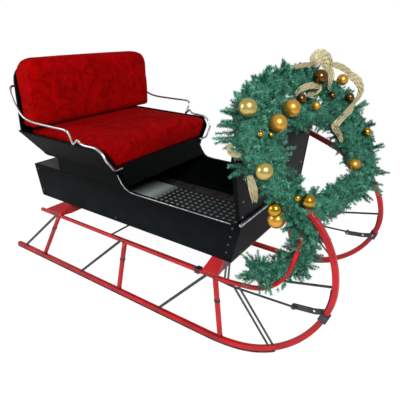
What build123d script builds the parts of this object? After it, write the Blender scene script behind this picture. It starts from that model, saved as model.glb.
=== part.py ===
"""One-horse sleigh: splayed runners with curled fronts, a box body, a flared
seat with two cushions, an upright dash board and a fir wreath tied over the curls.

Millimetres. X points forward to the horse, Y to the sleigh's left, Z up. The origin
is on the ground, on the centre line, halfway along the runners. Pieces that come in
pairs are drawn for the left and mirrored for the right.
"""
from build123d import *
from math import acos, atan2, cos, degrees, radians, sin, tan
import os

os.makedirs("parts", exist_ok=True)

# ---- clearances ------------------------------------------------------------
SEAT_GAP = 0.2            # between a piece and what carries it
SOFT_GAP = 0.4            # between a soft piece and its neighbours

# ---- running gear ----------------------------------------------------------
TRACK = 965.0             # runner to runner at the ground, on centres
SPLAY = 7.0               # degrees the runner frames lean in towards the top
RUNNER_REAR_X = -1070.5
RUNNER_WIDTH = 28.0
RUNNER_HEIGHT = 25.0
SHOE_THICK = 5.0          # steel strip under each runner
RUNNER_FILLET = 4.0
RUNNER_CURL_X = 502.0     # where the runner starts to turn up
RAVE_REAR_X = -805.0
RAVE_HEIGHT = 340.0       # rave's centre above the ground, measured in its frame
RAVE_SIZE = 20.0
RAVE_FILLET = 3.0
RAVE_CURL_X = 500.0
KNEE_WIDTH = 24.0
KNEE_THICK = 20.0
BRACE_WIDTH = 20.0
BRACE_THICK = 8.0
ROD_DIA = 10.0
STAY_SPACING = 34.0       # between the two forward stay rods

# Curl of the runner, then of the rave: (radius, degrees turned); a row with no turn
# is a straight run of that length. The runner ends flush against the dash board, and
# the rave's end is feathered against the runner's underside.
RUNNER_CURL = [(840.0, 12.0), (490.0, 64.0), (260.0, 17.0), (410.0, 66.0)]
RAVE_CURL = [(900.0, 7.0), (71.0, 0.0), (216.0, 72.0), (84.0, 0.0), (208.0, 84.0)]
RAVE_END_PAST = 230.0     # its end, past where it starts to curl

SHOE_TURN = 22.0          # degrees that the shoe goes on round the curl's second arc
STAY_FOOT_HEIGHT = 100.0
GROUND_CUT = 50.0

BENCH_WIDTH = 66.0
BENCH_END_THICK = 14.0    # where the bench's foot lies on the rave
# Benches: (name, centre x, rear and front x of the foot on the rave)
BENCHES = [("rear", -620.0, -741.0, -605.0), ("front", 482.0, 436.0, 522.0)]
# V stays: (how far behind the body's front at its bottom, how far past the rave's curl)
V_STAYS = [(27.0, 56.0), (11.0, 75.0)]
V_STAY_INSET = 12.0       # in from the body's side

# Draft rod along the rave's inner face, from the cross rod: (x, height) in the side
# frame, and then (how far past the start of the rave's curl, height)
DRAFT_ROD_START = (-212.0, 341.0)
DRAFT_ROD = [(-105.0, 345.0), (-10.0, 323.0), (95.0, 316.0), (398.0, 334.0)]
DRAFT_BEND = 60.0
STRAP_SETBACK = 96.0      # strap that holds the draft rod to the rave, behind its curl
STRAP_LENGTH = 26.0
STRAP_THICK = 3.0
ROD_EYE_THICK = 8.0
LINK_DEPTH = 24.0
LINK_THICK = 9.0
LINK_BOLT_DIA = 8.0
LINK_HEAD_DIA = 15.0
LINK_HEAD_THICK = 5.0
EYE_SETBACK = 50.8        # bore that the shafts are pinned in, behind the clamp
EYE_HEIGHT = 346.0
SHAFT_EYE_DIA = 13.0
LINK_FRONT_RISE = 10.0    # link's front end above the middle of the clamp
CLAMP_HEIGHT = 352.0      # where the clamp holds the runner's curl
CLAMP_LENGTH = 34.0
CLAMP_WALL = 6.0
CURL_STRAP_TOP = 486.0    # top of the iron strap inside the curl
STRUT_DIA = 11.0
STRUT_TURNS = (54.0, 96.5)          # degrees that the rave, then the runner, has turned

# Knees: (name, x at the rave, x at the runner)
KNEES = [("rear", -643.0, -795.0), ("middle", -87.0, -120.0),
         ("front", RAVE_CURL_X + 5.0, RUNNER_CURL_X + 69.0)]
# Flat braces: (x at the rave, x at the runner)
BRACES = [(-672.0, -990.0), (-122.0, -435.0), (452.0, 180.0)]
# Rear rod of the front stays: how far past the rave's curl, and past the runner's
FRONT_STAY = (98.0, 320.0)

# ---- body ------------------------------------------------------------------
BODY_WIDTH = 774.0
BODY_BOTTOM_Z = 408.0
SILL_Z = 612.0
BOARD = 16.0
FLOOR_THICK = 18.0
BODY_REAR_X = -853.0      # at the bottom edge
BODY_FRONT_X = 555.0      # at the bottom edge
REAR_RAKE = 44.0          # how much further back the rear panel's top is
FRONT_RAKE = 44.0         # how much further forward the front panel's top is
PANEL = 12.0
SEAT_FRONT_X = -165.0     # top of the seat riser at its front
SEAT_REAR_X = -655.0      # rear of the seat riser
SEAT_BASE_Z = SILL_Z + 91.0
SCROLL_RUN = 73.0         # length of the riser's sloping front
SCROLL_RADIUS = 60.0
SCROLL_TOP_RADIUS = 8.0
TRIM_THICK = 4.0
TRIM_DROP = 8.0           # the sill trim stops this far below the riser's top
MAT_REAR_X = -262.0
MAT_FRONT_X = 528.0
MAT_THICK = 8.0
MAT_HALF = 196.0
BATTEN_WIDTH = 65.0       # board on the floor along each side
BATTEN_THICK = 9.0
DECK_THICK = 14.0
TOP_BAR_SIZE = 12.0

# ---- seat ------------------------------------------------------------------
SEAT_BOARD = 14.0
SEAT_BOTTOM_HALF = 401.0  # outer face of the seat side at its bottom edge
SEAT_FLARE = 33.0         # degrees each seat side leans out
SEAT_SIDE_TOP_Z = SEAT_BASE_Z + 155.0
SEAT_BASE_REAR_X = -744.0
SEAT_BASE_FRONT_X = -160.0
# Front edge of the seat side, upwards: (x, z, corner radius)
SEAT_SIDE_FRONT = [(-150.0, SEAT_BASE_Z + SEAT_GAP, 0.0), (-145.0, SEAT_SIDE_TOP_Z - 46.0, 40.0),
                   (-196.0, SEAT_SIDE_TOP_Z, 20.0)]
# Rear face of the back board, upwards: (x, z)
BACK_BOARD = [(SEAT_BASE_REAR_X, SEAT_BASE_Z + SEAT_BOARD + SEAT_GAP),
              (-838.0, SEAT_SIDE_TOP_Z + 2.0), (-852.0, SEAT_SIDE_TOP_Z + 374.0)]
BACK_BOARD_HALF_TOP = 470.0
BACK_BOARD_CORNER = 90.0
# Front board's front face, upwards: (x, z)
FRONT_BOARD = [(-102.0, SEAT_BASE_Z - 63.0), (-157.0, SEAT_BASE_Z + 42.0)]
FRONT_BOARD_THICK = 12.0
CUSHION_FRONT_X = -158.0
CUSHION_REAR_GAP = 6.0    # to the back board
CUSHION_TOP_Z = SEAT_SIDE_TOP_Z + 8.0
CUSHION_NOSE_X = -178.0   # behind this the cushion lies lower, behind the front board
CUSHION_SIDE_GAP = 6.0
CUSHION_FILLET = 34.0
CUSHION_SIDE_FILLET = 26.0
# Back cushion, seen from its side: (x, z) at the front's bottom and top
BACK_CUSHION = [(-695.0, CUSHION_TOP_Z + SOFT_GAP), (-711.0, CUSHION_TOP_Z + 396.0)]
BACK_CUSHION_THICK = 122.0
BACK_CUSHION_HALF = 500.0
BACK_CUSHION_CORNER = 100.0
RAIL_DIA = 13.0
RAIL_BEND = 14.0
# Left arm rail: (x, y, z above the seat side's top) where it is fixed to the back
# board, (x, y and z past the seat side's top edge) along the arm, and then
# (x, y, z above the seat's base) down to the front board
RAIL_REAR = [(-840.2, 470.0, 250.0), (-840.2, 516.0, 244.0)]
RAIL_ARM = [
    (-780.0, 24.3, 162.0), (-700.0, 31.3, 94.0), (-610.0, 36.3, 84.0), (-342.0, 39.3, 84.0),
    (-358.0, 4.3, -6.0), (-320.0, 4.3, 36.0), (-284.0, -0.7, 8.0), (-192.0, -4.7, 8.0),
    (-130.0, -13.7, -46.0),
]
RAIL_FRONT = [(-130.0, 438.0, 35.0), (-132.0, 376.0, 34.0), (-160.0, 374.0, 32.0)]

# ---- dash ------------------------------------------------------------------
DASH_X = 568.0            # rear face
DASH_THICK = 16.0
DASH_BOTTOM_Z = 560.0     # it tapers there against the raked front panel
DASH_TOP_Z = 985.0
DASH_HALF_TOP = 468.0
DASH_CORNER = 45.0
DASH_EDGE = 5.0
DASH_EDGE_LAP = 2.0       # how far the edge trim stands past each face


# ---- wreath ----------------------------------------------------------------
# A long oval ring of fir that leans back over the dash and lies on the two curls.
WREATH_AHEAD = 161.0      # its centre ahead of the dash, and below the dash's top
WREATH_DROP = 13.0
WREATH_LEAN = 38.0        # degrees back from upright
WREATH_TURN = 8.0         # degrees turned to the right
WREATH_WIDTH = 930.0      # on the limb's centre line
WREATH_HEIGHT = 600.0
LIMB_RADIUS = 78.0
STRAND_RADIUS = 72.0
STRAND_BEND = 100.0
# Second strand, hung inside the ring's top: (share of the way round the ring, how far
# inside the ring's line)
STRAND_ROUTE = [
    (0.870, 65.0), (0.934, 111.0), (0.019, 173.0), (0.179, 208.0), (0.250, 182.0),
    (0.309, 158.0), (0.399, 125.0), (0.482, 103.0), (0.543, 48.0),
]
TAIL_RADIUS = 64.0
TAIL_BEND = 75.0
# Tail that hangs down over the right-hand rave curl, from the ring's centre
TAIL_ROUTE = [
    (90.0, -400.0, -184.0), (130.0, -385.0, -278.0), (152.0, -390.0, -363.0),
    (121.0, -420.0, -452.0), (39.0, -460.0, -508.0), (-60.0, -470.0, -502.0),
]
# Baubles on the ring: (share of the way round it, degrees round the limb, radius)
BAUBLES = [
    (0.433, 35.0, 37.0), (0.169, -27.0, 37.0), (0.084, 26.0, 30.0), (0.097, -66.0, 20.0),
    (0.055, -26.0, 24.0), (0.959, -34.0, 24.0), (0.843, -80.0, 33.0), (0.520, 51.0, 34.0),
    (0.568, 99.0, 29.0), (0.595, 21.0, 28.0), (0.473, 14.0, 12.0), (0.577, 31.0, 13.0),
]
# Baubles on the second strand: (share of the way along it, degrees round it, radius)
STRAND_BAUBLES = [
    (0.684, 0.0, 38.0), (0.824, 14.0, 38.0), (0.538, 48.0, 24.0), (0.486, 6.0, 20.0),
    (0.875, 36.0, 12.0),
]
TAIL_BAUBLES = [(40.0, -447.0, -241.0, 37.0)]       # (x, y, z, radius)
BAUBLE_STAND = 0.25       # share of a bauble's radius that its centre clears the limb
RIBBON_WIDTH = 62.0
RIBBON_THICK = 3.0
RIBBON_ROOM = 3.0         # inside the straight band, for the ring's own curve
BOW_SHARE = 0.138         # where the bow sits round the ring
BOW_TURN = 60.0           # degrees round the limb
BOW_LENGTH = 190.0
BOW_WIDTH = 70.0
BOW_THICK = 26.0
BOW_STAND = 2.0           # above the inside of the band
BOW_WAIST = 34.0


def save(name, shape):
    shape.label = name
    export_step(shape, f"parts/{name}.step")


def save_pair(name, left):
    """The left piece, and its mirror image in the XZ plane."""
    save(f"{name}_left", left)
    save(f"{name}_right", mirror(left, about=Plane.XZ))


def on_left_frame(shape):
    """From the upright frame (X, height) of a runner's side to its splayed place."""
    return Pos(0, TRACK / 2, 0) * Rot(SPLAY, 0, 0) * shape


def box(x0, x1, y0, y1, z0, z1):
    return Pos((x0 + x1) / 2, (y0 + y1) / 2, (z0 + z1) / 2) * Box(x1 - x0, y1 - y0, z1 - z0)


def outline(points):
    """The closed face through rows of (x, y, z, corner radius)."""
    corners = [point[:3] for point in points]
    return make_face(FilletPolyline(*corners, radius=[point[3] for point in points], close=True))


def prism_xz(rows, y0, y1):
    """The closed outline through rows of (x, z), or (x, z, corner radius), from y0 to y1."""
    face = outline([(row[0], y0, row[1], row[2] if len(row) > 2 else 0.0) for row in rows])
    return extrude(face, amount=y1 - y0, dir=(0, 1, 0))


def prism_yz(rows, x0, x1):
    """The outline through rows of (y, z), or (y, z, corner radius), from x0 to x1."""
    face = outline([(x0, row[0], row[1], row[2] if len(row) > 2 else 0.0) for row in rows])
    return extrude(face, amount=x1 - x0, dir=(1, 0, 0))


def both_sides(rows):
    """Rows of (y, z, ...) for the left edge, upwards, joined to their mirror image."""
    return [*rows, *[(-row[0], *row[1:]) for row in reversed(rows)]]


def shifted(points, distance):
    """The open line through (x, z) points moved to its right by distance, mitred."""
    headings = [atan2(z1 - z0, x1 - x0) for (x0, z0), (x1, z1) in zip(points, points[1:])]
    moved = []
    for (x, z), before, after in zip(points, headings[:1] + headings, headings + headings[-1:]):
        middle, reach = (before + after) / 2, distance / cos((after - before) / 2)
        moved.append((x + reach * sin(middle), z - reach * cos(middle)))
    return moved


def rod_between(start, end, diameter):
    start, end = Vector(*start), Vector(*end)
    axis = Plane(origin=start, z_dir=end - start)
    return Part(Solid.make_cylinder(diameter / 2, (end - start).length, axis).wrapped)


def bent_rod(points, radius, diameter):
    """A round rod along straight runs joined by tangent arcs."""
    route = FilletPolyline(*points, radius=radius)
    section = Plane(origin=route @ 0, z_dir=route % 0) * Circle(diameter / 2)
    return sweep(section, path=route)


def curl_edges(start_x, height, straight, curl, inset, end_x=None):
    """The runs and arcs of a bar's line, kept inset to the inner side of its centre.

    The line starts level and turns up through each (radius, degrees) row. With an
    end_x it then runs straight to that x.
    """
    x, z, heading = start_x, height, 0.0
    edges = []

    def inner(px, pz, angle):
        return (px - inset * sin(angle), 0, pz + inset * cos(angle))

    def run(length):
        nonlocal x, z
        x1, z1 = x + length * cos(heading), z + length * sin(heading)
        edges.append(Line(inner(x, z, heading), inner(x1, z1, heading)))
        x, z = x1, z1

    run(straight)
    for size, turn in curl:
        if turn == 0.0:
            run(size)
            continue
        centre_x, centre_z = x - size * sin(heading), z + size * cos(heading)
        marks = []
        for share in (0.0, 0.5, 1.0):
            angle = heading + radians(turn) * share
            marks.append((centre_x + size * sin(angle), centre_z - size * cos(angle), angle))
        edges.append(ThreePointArc(*[inner(*mark) for mark in marks]))
        x, z, heading = marks[-1]
    if end_x is not None:
        run((end_x + inset * sin(heading) - x) / cos(heading))
    return edges


def curl_point(start_x, height, curl, turned):
    """Where a line that starts to curl at start_x has turned by some degrees."""
    x, z, heading, last = start_x, height, 0.0, radians(turned)
    for size, turn in curl:
        if heading >= last:
            break
        if turn == 0.0:
            x, z = x + size * cos(heading), z + size * sin(heading)
            continue
        after = min(heading + radians(turn), last)
        x += size * (sin(after) - sin(heading))
        z += size * (cos(heading) - cos(after))
        heading = after
    return x, z


def curled_bar(start_x, height, straight, curl, low, high, width, end_x=None):
    """A bar along a curled line, from low to high across it, and width wide in Y."""
    outer = curl_edges(start_x, height, straight, curl, low, end_x)
    inner = curl_edges(start_x, height, straight, curl, high, end_x)
    ends = [Line(outer[0] @ 0, inner[0] @ 0), Line(outer[-1] @ 1, inner[-1] @ 1)]
    face = make_face([*outer, *inner, *ends])
    return Pos(0, -width / 2, 0) * extrude(face, amount=width, dir=(0, 1, 0))


# ---- runners and raves: curled bars, drawn upright and leaned in ---------------
runner_middle = SHOE_THICK + RUNNER_HEIGHT / 2
runner_top = SHOE_THICK + RUNNER_HEIGHT
rave_bottom = RAVE_HEIGHT - RAVE_SIZE / 2
rave_top = RAVE_HEIGHT + RAVE_SIZE / 2
dash_front = DASH_X + DASH_THICK + SEAT_GAP
runner_straight = RUNNER_CURL_X - RUNNER_REAR_X
rave_straight = RAVE_CURL_X - RAVE_REAR_X

runner = curled_bar(RUNNER_REAR_X, runner_middle, runner_straight, RUNNER_CURL,
                    -RUNNER_HEIGHT / 2, RUNNER_HEIGHT / 2, RUNNER_WIDTH, dash_front)
rave_end = RAVE_CURL_X + RAVE_END_PAST
above_runner = curled_bar(RUNNER_REAR_X, runner_middle, runner_straight, RUNNER_CURL,
                          -RUNNER_HEIGHT / 2 - SEAT_GAP, RUNNER_HEIGHT, 2 * RAVE_SIZE, dash_front)
rave = curled_bar(RAVE_REAR_X, RAVE_HEIGHT, rave_straight, RAVE_CURL,
                  -RAVE_SIZE / 2, RAVE_SIZE / 2, RAVE_SIZE, rave_end) - above_runner
save_pair("runner", on_left_frame(runner))
save_pair("rave", on_left_frame(rave))

# ---- shoes: steel strips under the runners, flat where they meet the ground ----
shoe = curled_bar(RUNNER_REAR_X, runner_middle, runner_straight, 
                  [RUNNER_CURL[0], (RUNNER_CURL[1][0], SHOE_TURN)],
                  -RUNNER_HEIGHT / 2 - SHOE_THICK, -RUNNER_HEIGHT / 2, RUNNER_WIDTH)
below_ground = box(RUNNER_REAR_X - GROUND_CUT, -RUNNER_REAR_X + GROUND_CUT,
                   -TRACK, TRACK, -GROUND_CUT, 0)
save_pair("shoe", on_left_frame(shoe) - below_ground)

# ---- knees and flat braces between runner and rave ----------------------------
knees = []
for name, top_x, foot_x in KNEES:
    half = KNEE_WIDTH / 2
    knee = prism_xz([(foot_x - half, runner_middle), (foot_x + half, runner_middle),
                     (top_x + half, rave_bottom), (top_x - half, rave_bottom)],
                    -KNEE_THICK / 2, KNEE_THICK / 2)
    knees.append(knee - runner)
save_pair("knees", on_left_frame(Compound(children=knees)))

braces = []
for top_x, foot_x in BRACES:
    half = BRACE_WIDTH / 2
    braces.append(prism_xz([(foot_x - half, runner_top), (foot_x + half, runner_top),
                            (top_x + half, rave_bottom), (top_x - half, rave_bottom)],
                           -BRACE_THICK / 2, BRACE_THICK / 2))
save_pair("braces", on_left_frame(Compound(children=braces)))

# ---- forward stays: a pair of rods from the rave down to the runner's curl ----
stays = []
for step in (0.0, STAY_SPACING):
    stay = rod_between((RAVE_CURL_X + FRONT_STAY[0] + step, 0, RAVE_HEIGHT),
                       (RUNNER_CURL_X + FRONT_STAY[1] + step, 0, STAY_FOOT_HEIGHT), ROD_DIA)
    stays.append(stay - runner - rave)
save_pair("front_stays", on_left_frame(Compound(children=stays)))

# ---- benches: cross bars on the raves that carry the body ---------------------
body_half = BODY_WIDTH / 2
splay = radians(SPLAY)
rave_y = TRACK / 2 - RAVE_HEIGHT * sin(splay)
rave_z = RAVE_HEIGHT * cos(splay)
foot_half = rave_y + RAVE_SIZE / 2
bench_z = rave_z + RAVE_SIZE / 2 * (cos(splay) + sin(splay)) + SEAT_GAP
bench_top = BODY_BOTTOM_Z - SEAT_GAP
left_rave = on_left_frame(rave)
bench_side = prism_yz(both_sides([(foot_half, bench_z), (foot_half, bench_z + BENCH_END_THICK),
                                  (body_half, bench_top)]), -BODY_WIDTH, BODY_WIDTH)
for name, bench_x, foot_rear_x, foot_front_x in BENCHES:
    rear_x, front_x = bench_x - BENCH_WIDTH / 2, bench_x + BENCH_WIDTH / 2
    plan = make_face(Polyline(
        (rear_x, -body_half), (foot_rear_x, -foot_half), (foot_front_x, -foot_half),
        (front_x, -body_half), (front_x, body_half), (foot_front_x, foot_half),
        (foot_rear_x, foot_half), (rear_x, body_half), close=True))
    bench = extrude(plan, amount=BODY_BOTTOM_Z, dir=(0, 0, 1)) & bench_side
    save(f"bench_{name}", bench - left_rave - mirror(left_rave, about=Plane.XZ))

# ---- V stays: short rods from the body's front corners to the raves ------------
above_bench = box(-BODY_WIDTH, BODY_WIDTH, 0, BODY_WIDTH, bench_top, BODY_BOTTOM_Z + BODY_WIDTH)
v_stays = []
for behind, past in V_STAYS:
    stay = rod_between((BODY_FRONT_X - behind, body_half - V_STAY_INSET, BODY_BOTTOM_Z + ROD_DIA),
                       (RAVE_CURL_X + past, rave_y, rave_z), ROD_DIA)
    v_stays.append(stay - left_rave - above_bench)
save_pair("v_stays", Compound(children=v_stays))

# ---- draft rods, from a cross rod under the body along the raves to the shafts --
rod_y = -(RAVE_SIZE / 2 + SEAT_GAP + ROD_DIA / 2)
rod_line = [DRAFT_ROD_START] + [(RAVE_CURL_X + past, height) for past, height in DRAFT_ROD]
rod_end_x, rod_end_height = rod_line[-1]
rod_end = Pos(rod_end_x, rod_y, rod_end_height) * Rot(90, 0, 0)
draft_rod = bent_rod([(x, rod_y, height) for x, height in rod_line], DRAFT_BEND, ROD_DIA)
draft_rod += rod_end * Cylinder(LINK_DEPTH / 2, ROD_EYE_THICK)
draft_rod -= rod_end * Cylinder(LINK_BOLT_DIA / 2 + SEAT_GAP, 2 * ROD_EYE_THICK)
save_pair("draft_rod", on_left_frame(draft_rod))

rod_start_x, rod_start_height = DRAFT_ROD_START
cross_y = TRACK / 2 + rod_y * cos(splay) - rod_start_height * sin(splay)
cross_z = rod_y * sin(splay) + rod_start_height * cos(splay)
cross_x = rod_start_x + ROD_DIA
left_draft_rod = on_left_frame(draft_rod)
cross_rod = rod_between((cross_x, -cross_y, cross_z), (cross_x, cross_y, cross_z), ROD_DIA)
save("cross_rod", cross_rod - left_draft_rod - mirror(left_draft_rod, about=Plane.XZ))

# ---- straps that hold the draft rods to the raves ------------------------------
strap_x1 = RAVE_CURL_X - STRAP_SETBACK + STRAP_LENGTH / 2
strap_x0 = strap_x1 - STRAP_LENGTH
strap_hole = (rod_y - ROD_DIA / 2 - SEAT_GAP, RAVE_SIZE / 2 + SEAT_GAP,
              rave_bottom - SEAT_GAP, rave_top + SEAT_GAP)
strap = box(strap_x0, strap_x1, strap_hole[0] - STRAP_THICK, strap_hole[1] + STRAP_THICK,
            strap_hole[2] - STRAP_THICK, strap_hole[3] + STRAP_THICK)
save_pair("rave_strap", on_left_frame(strap - box(strap_x0, strap_x1, *strap_hole)))

# ---- clamps and iron straps on the runner's curls ------------------------------
bend_radius, bend_turn = RUNNER_CURL[0][0], radians(RUNNER_CURL[0][1])
curl_radius = RUNNER_CURL[1][0]
curl_x = RUNNER_CURL_X + (bend_radius - curl_radius) * sin(bend_turn)
curl_height = runner_middle + bend_radius - (bend_radius - curl_radius) * cos(bend_turn)
clamp_angle = acos((curl_height - CLAMP_HEIGHT) / curl_radius)
clamp_x = curl_x + curl_radius * sin(clamp_angle)
clamp_side = RUNNER_WIDTH / 2 + SEAT_GAP + CLAMP_WALL
clamp_depth = RUNNER_HEIGHT / 2 + SEAT_GAP + CLAMP_WALL
curl_space = curled_bar(RUNNER_REAR_X, runner_middle, runner_straight, RUNNER_CURL,
                        -RUNNER_HEIGHT / 2 - SEAT_GAP, RUNNER_HEIGHT / 2 + SEAT_GAP,
                        RUNNER_WIDTH + 2 * SEAT_GAP)
curl_strap = curled_bar(RUNNER_REAR_X, runner_middle, runner_straight, RUNNER_CURL,
                        RUNNER_HEIGHT / 2 + SEAT_GAP, RUNNER_HEIGHT / 2 + SEAT_GAP + STRAP_THICK,
                        RUNNER_WIDTH)
curl_strap &= box(clamp_x - CLAMP_HEIGHT, clamp_x + CLAMP_HEIGHT, -RUNNER_WIDTH, RUNNER_WIDTH,
                  CLAMP_HEIGHT, CURL_STRAP_TOP)
clamp = Pos(clamp_x, 0, CLAMP_HEIGHT) * Rot(0, -degrees(clamp_angle), 0)
clamp = clamp * Box(CLAMP_LENGTH, 2 * clamp_side, 2 * clamp_depth) - curl_space
save_pair("curl_clamp", on_left_frame(clamp + curl_strap))

# ---- draft links: bars from the rods to the clamps, with the shafts' eyes -------
link_outer = min(rod_y - ROD_DIA / 2, -clamp_side) - SEAT_GAP
half_depth = LINK_DEPTH / 2
eye_x = clamp_x - EYE_SETBACK
link_line = [(rod_end_x, rod_end_height), (eye_x, EYE_HEIGHT),
             (clamp_x, CLAMP_HEIGHT + LINK_FRONT_RISE)]
link_rows = shifted(link_line, half_depth) + list(reversed(shifted(link_line, -half_depth)))
link = prism_xz(link_rows, link_outer - LINK_THICK, link_outer)
link += (Pos(rod_end_x, link_outer - LINK_THICK / 2, rod_end_height) * Rot(90, 0, 0)
         * Cylinder(half_depth, LINK_THICK))
eye_axis = Pos(eye_x, link_outer, EYE_HEIGHT) * Rot(90, 0, 0)
link -= eye_axis * Cylinder(SHAFT_EYE_DIA / 2, 3 * LINK_THICK)
bolt_end = rod_y + ROD_DIA / 2 + SEAT_GAP
link += rod_between((rod_end_x, link_outer - LINK_THICK / 2, rod_end_height),
                    (rod_end_x, bolt_end, rod_end_height), LINK_BOLT_DIA)
link += rod_between((rod_end_x, bolt_end, rod_end_height),
                    (rod_end_x, bolt_end + LINK_HEAD_THICK, rod_end_height), LINK_HEAD_DIA)
save_pair("draft_link", on_left_frame(link))

# ---- curl struts: rods between the rave's curl and the runner's -----------------
rave_turn, runner_turn = STRUT_TURNS
strut_x0, strut_h0 = curl_point(RAVE_CURL_X, RAVE_HEIGHT, RAVE_CURL, rave_turn)
strut_x1, strut_h1 = curl_point(RUNNER_CURL_X, runner_middle, RUNNER_CURL, runner_turn)
strut = rod_between((strut_x0, 0, strut_h0), (strut_x1, 0, strut_h1), STRUT_DIA)
save_pair("curl_strut", on_left_frame(strut - curl_space - rave - curl_strap))

# ---- body: a box of boards, open at the top in front of the seat -----------------
inner_half = body_half - BOARD - SEAT_GAP
floor_top = BODY_BOTTOM_Z + FLOOR_THICK
deck_bottom = SILL_Z - DECK_THICK
scroll_foot_x = SEAT_FRONT_X + SCROLL_RUN


def body_rear(z):
    return BODY_REAR_X - REAR_RAKE * (z - BODY_BOTTOM_Z) / (SILL_Z - BODY_BOTTOM_Z)


def body_front(z):
    return BODY_FRONT_X + FRONT_RAKE * (z - BODY_BOTTOM_Z) / (SILL_Z - BODY_BOTTOM_Z)


rear_face = [(body_rear(BODY_BOTTOM_Z), BODY_BOTTOM_Z), (body_rear(SILL_Z), SILL_Z)]
front_face = [(body_front(BODY_BOTTOM_Z), BODY_BOTTOM_Z), (body_front(SILL_Z), SILL_Z)]
body_side = prism_xz([
    (*rear_face[0], 0), (*front_face[0], 0), (*front_face[1], 0),
    (scroll_foot_x, SILL_Z, SCROLL_RADIUS), (SEAT_FRONT_X, SEAT_BASE_Z, SCROLL_TOP_RADIUS),
    (SEAT_REAR_X, SEAT_BASE_Z, 0), (SEAT_REAR_X, SILL_Z, 0), (*rear_face[1], 0),
], body_half - BOARD, body_half)
save_pair("body_side", body_side)
under_sill = box(-TRACK * 2, TRACK * 2, -TRACK, TRACK, BODY_BOTTOM_Z, SILL_Z)
for name, face, depth in (("rear", rear_face, PANEL), ("front", front_face, -PANEL)):
    rows = face + list(reversed(shifted(face, depth)))
    save(f"body_{name}_panel", prism_xz(rows, -inner_half, inner_half) & under_sill)

rear_inner = shifted(rear_face, PANEL + SEAT_GAP)
front_inner = shifted(front_face, -PANEL - SEAT_GAP)
hold = prism_xz(rear_inner + list(reversed(front_inner)), -inner_half, inner_half) & under_sill
save("body_floor", hold & box(-TRACK * 2, TRACK * 2, -TRACK, TRACK, BODY_BOTTOM_Z, floor_top))
save("rear_deck", hold & box(-TRACK * 2, SEAT_REAR_X - SEAT_GAP, -TRACK, TRACK,
                             deck_bottom, SILL_Z))
save("riser_rear_board", box(SEAT_REAR_X, SEAT_REAR_X + PANEL, -inner_half, inner_half,
                             deck_bottom, SEAT_BASE_Z - SEAT_GAP))
mat_bottom = floor_top + SEAT_GAP
save("floor_mat", box(MAT_REAR_X, MAT_FRONT_X, -MAT_HALF, MAT_HALF, mat_bottom,
                      mat_bottom + MAT_THICK))
batten_ends = prism_xz(shifted(rear_inner, SEAT_GAP)
                       + list(reversed(shifted(front_inner, -SEAT_GAP))), 0, inner_half)
save_pair("floor_batten", batten_ends & box(
    -TRACK * 2, TRACK * 2, inner_half - BATTEN_WIDTH, inner_half,
    floor_top + SEAT_GAP, floor_top + SEAT_GAP + BATTEN_THICK))

# ---- bright trims: along the sills and scrolls, and across the front ------------
bar_rear_x = body_front(SILL_Z) - TOP_BAR_SIZE
trim_share = TRIM_DROP / (SEAT_BASE_Z - SILL_Z)
trim_y = body_half - BOARD / 2
trim_line = FilletPolyline(
    (SEAT_FRONT_X + SCROLL_RUN * trim_share, trim_y, SEAT_BASE_Z - TRIM_DROP),
    (scroll_foot_x, trim_y, SILL_Z), (bar_rear_x - SEAT_GAP, trim_y, SILL_Z),
    radius=SCROLL_RADIUS)
trim_plane = Plane(origin=trim_line @ 0, x_dir=(0, 1, 0), z_dir=trim_line % 0)
trim_section = trim_plane * Pos(0, SEAT_GAP + TRIM_THICK / 2) * Rectangle(BOARD, TRIM_THICK)
save_pair("sill_trim", sweep(trim_section, path=trim_line))
save("front_top_bar", box(bar_rear_x, body_front(SILL_Z), -body_half, body_half,
                          SILL_Z + SEAT_GAP, SILL_Z + SEAT_GAP + TOP_BAR_SIZE))

# ---- seat: base, flared sides and boards ----------------------------------------
flare = tan(radians(SEAT_FLARE))
side_thick = SEAT_BOARD / cos(radians(SEAT_FLARE))
seat_z = SEAT_BASE_Z + SEAT_GAP
seat_half = SEAT_BOTTOM_HALF - side_thick


def seat_inner(z):
    """Half the width between the seat sides at a height."""
    return seat_half + (z - SEAT_BASE_Z) * flare


base_top = SEAT_BASE_Z + SEAT_BOARD
save("seat_base", box(SEAT_BASE_REAR_X, SEAT_BASE_FRONT_X, SEAT_GAP - seat_half,
                      seat_half - SEAT_GAP, seat_z, base_top))
slab = prism_yz([
    (seat_inner(seat_z), seat_z), (seat_inner(seat_z) + side_thick, seat_z),
    (seat_inner(SEAT_SIDE_TOP_Z) + side_thick, SEAT_SIDE_TOP_Z),
    (seat_inner(SEAT_SIDE_TOP_Z), SEAT_SIDE_TOP_Z),
], BACK_BOARD[2][0], 0)
(low_x, low_z), (knee_x, knee_z) = BACK_BOARD[:2]
rear_slope = (knee_x - low_x) / (knee_z - low_z)
seat_side = slab & prism_xz([
    (low_x + (seat_z - low_z) * rear_slope, seat_z, 0), *SEAT_SIDE_FRONT,
    (low_x + (SEAT_SIDE_TOP_Z - low_z) * rear_slope, SEAT_SIDE_TOP_Z, 0),
], 0, TRACK)
save_pair("seat_side", seat_side)

back_rows = BACK_BOARD + list(reversed(shifted(BACK_BOARD, SEAT_BOARD)))
back_board = prism_xz(back_rows, -TRACK, TRACK) & prism_yz(both_sides([
    (seat_inner(base_top + SEAT_GAP) - SEAT_GAP, base_top + SEAT_GAP, 0),
    (seat_inner(SEAT_SIDE_TOP_Z) - SEAT_GAP, SEAT_SIDE_TOP_Z, 0),
    (BACK_BOARD_HALF_TOP, BACK_BOARD[2][1] - SEAT_BOARD, BACK_BOARD_CORNER),
]), 2 * SEAT_BASE_REAR_X, 0)
save("seat_back_board", back_board)

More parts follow.
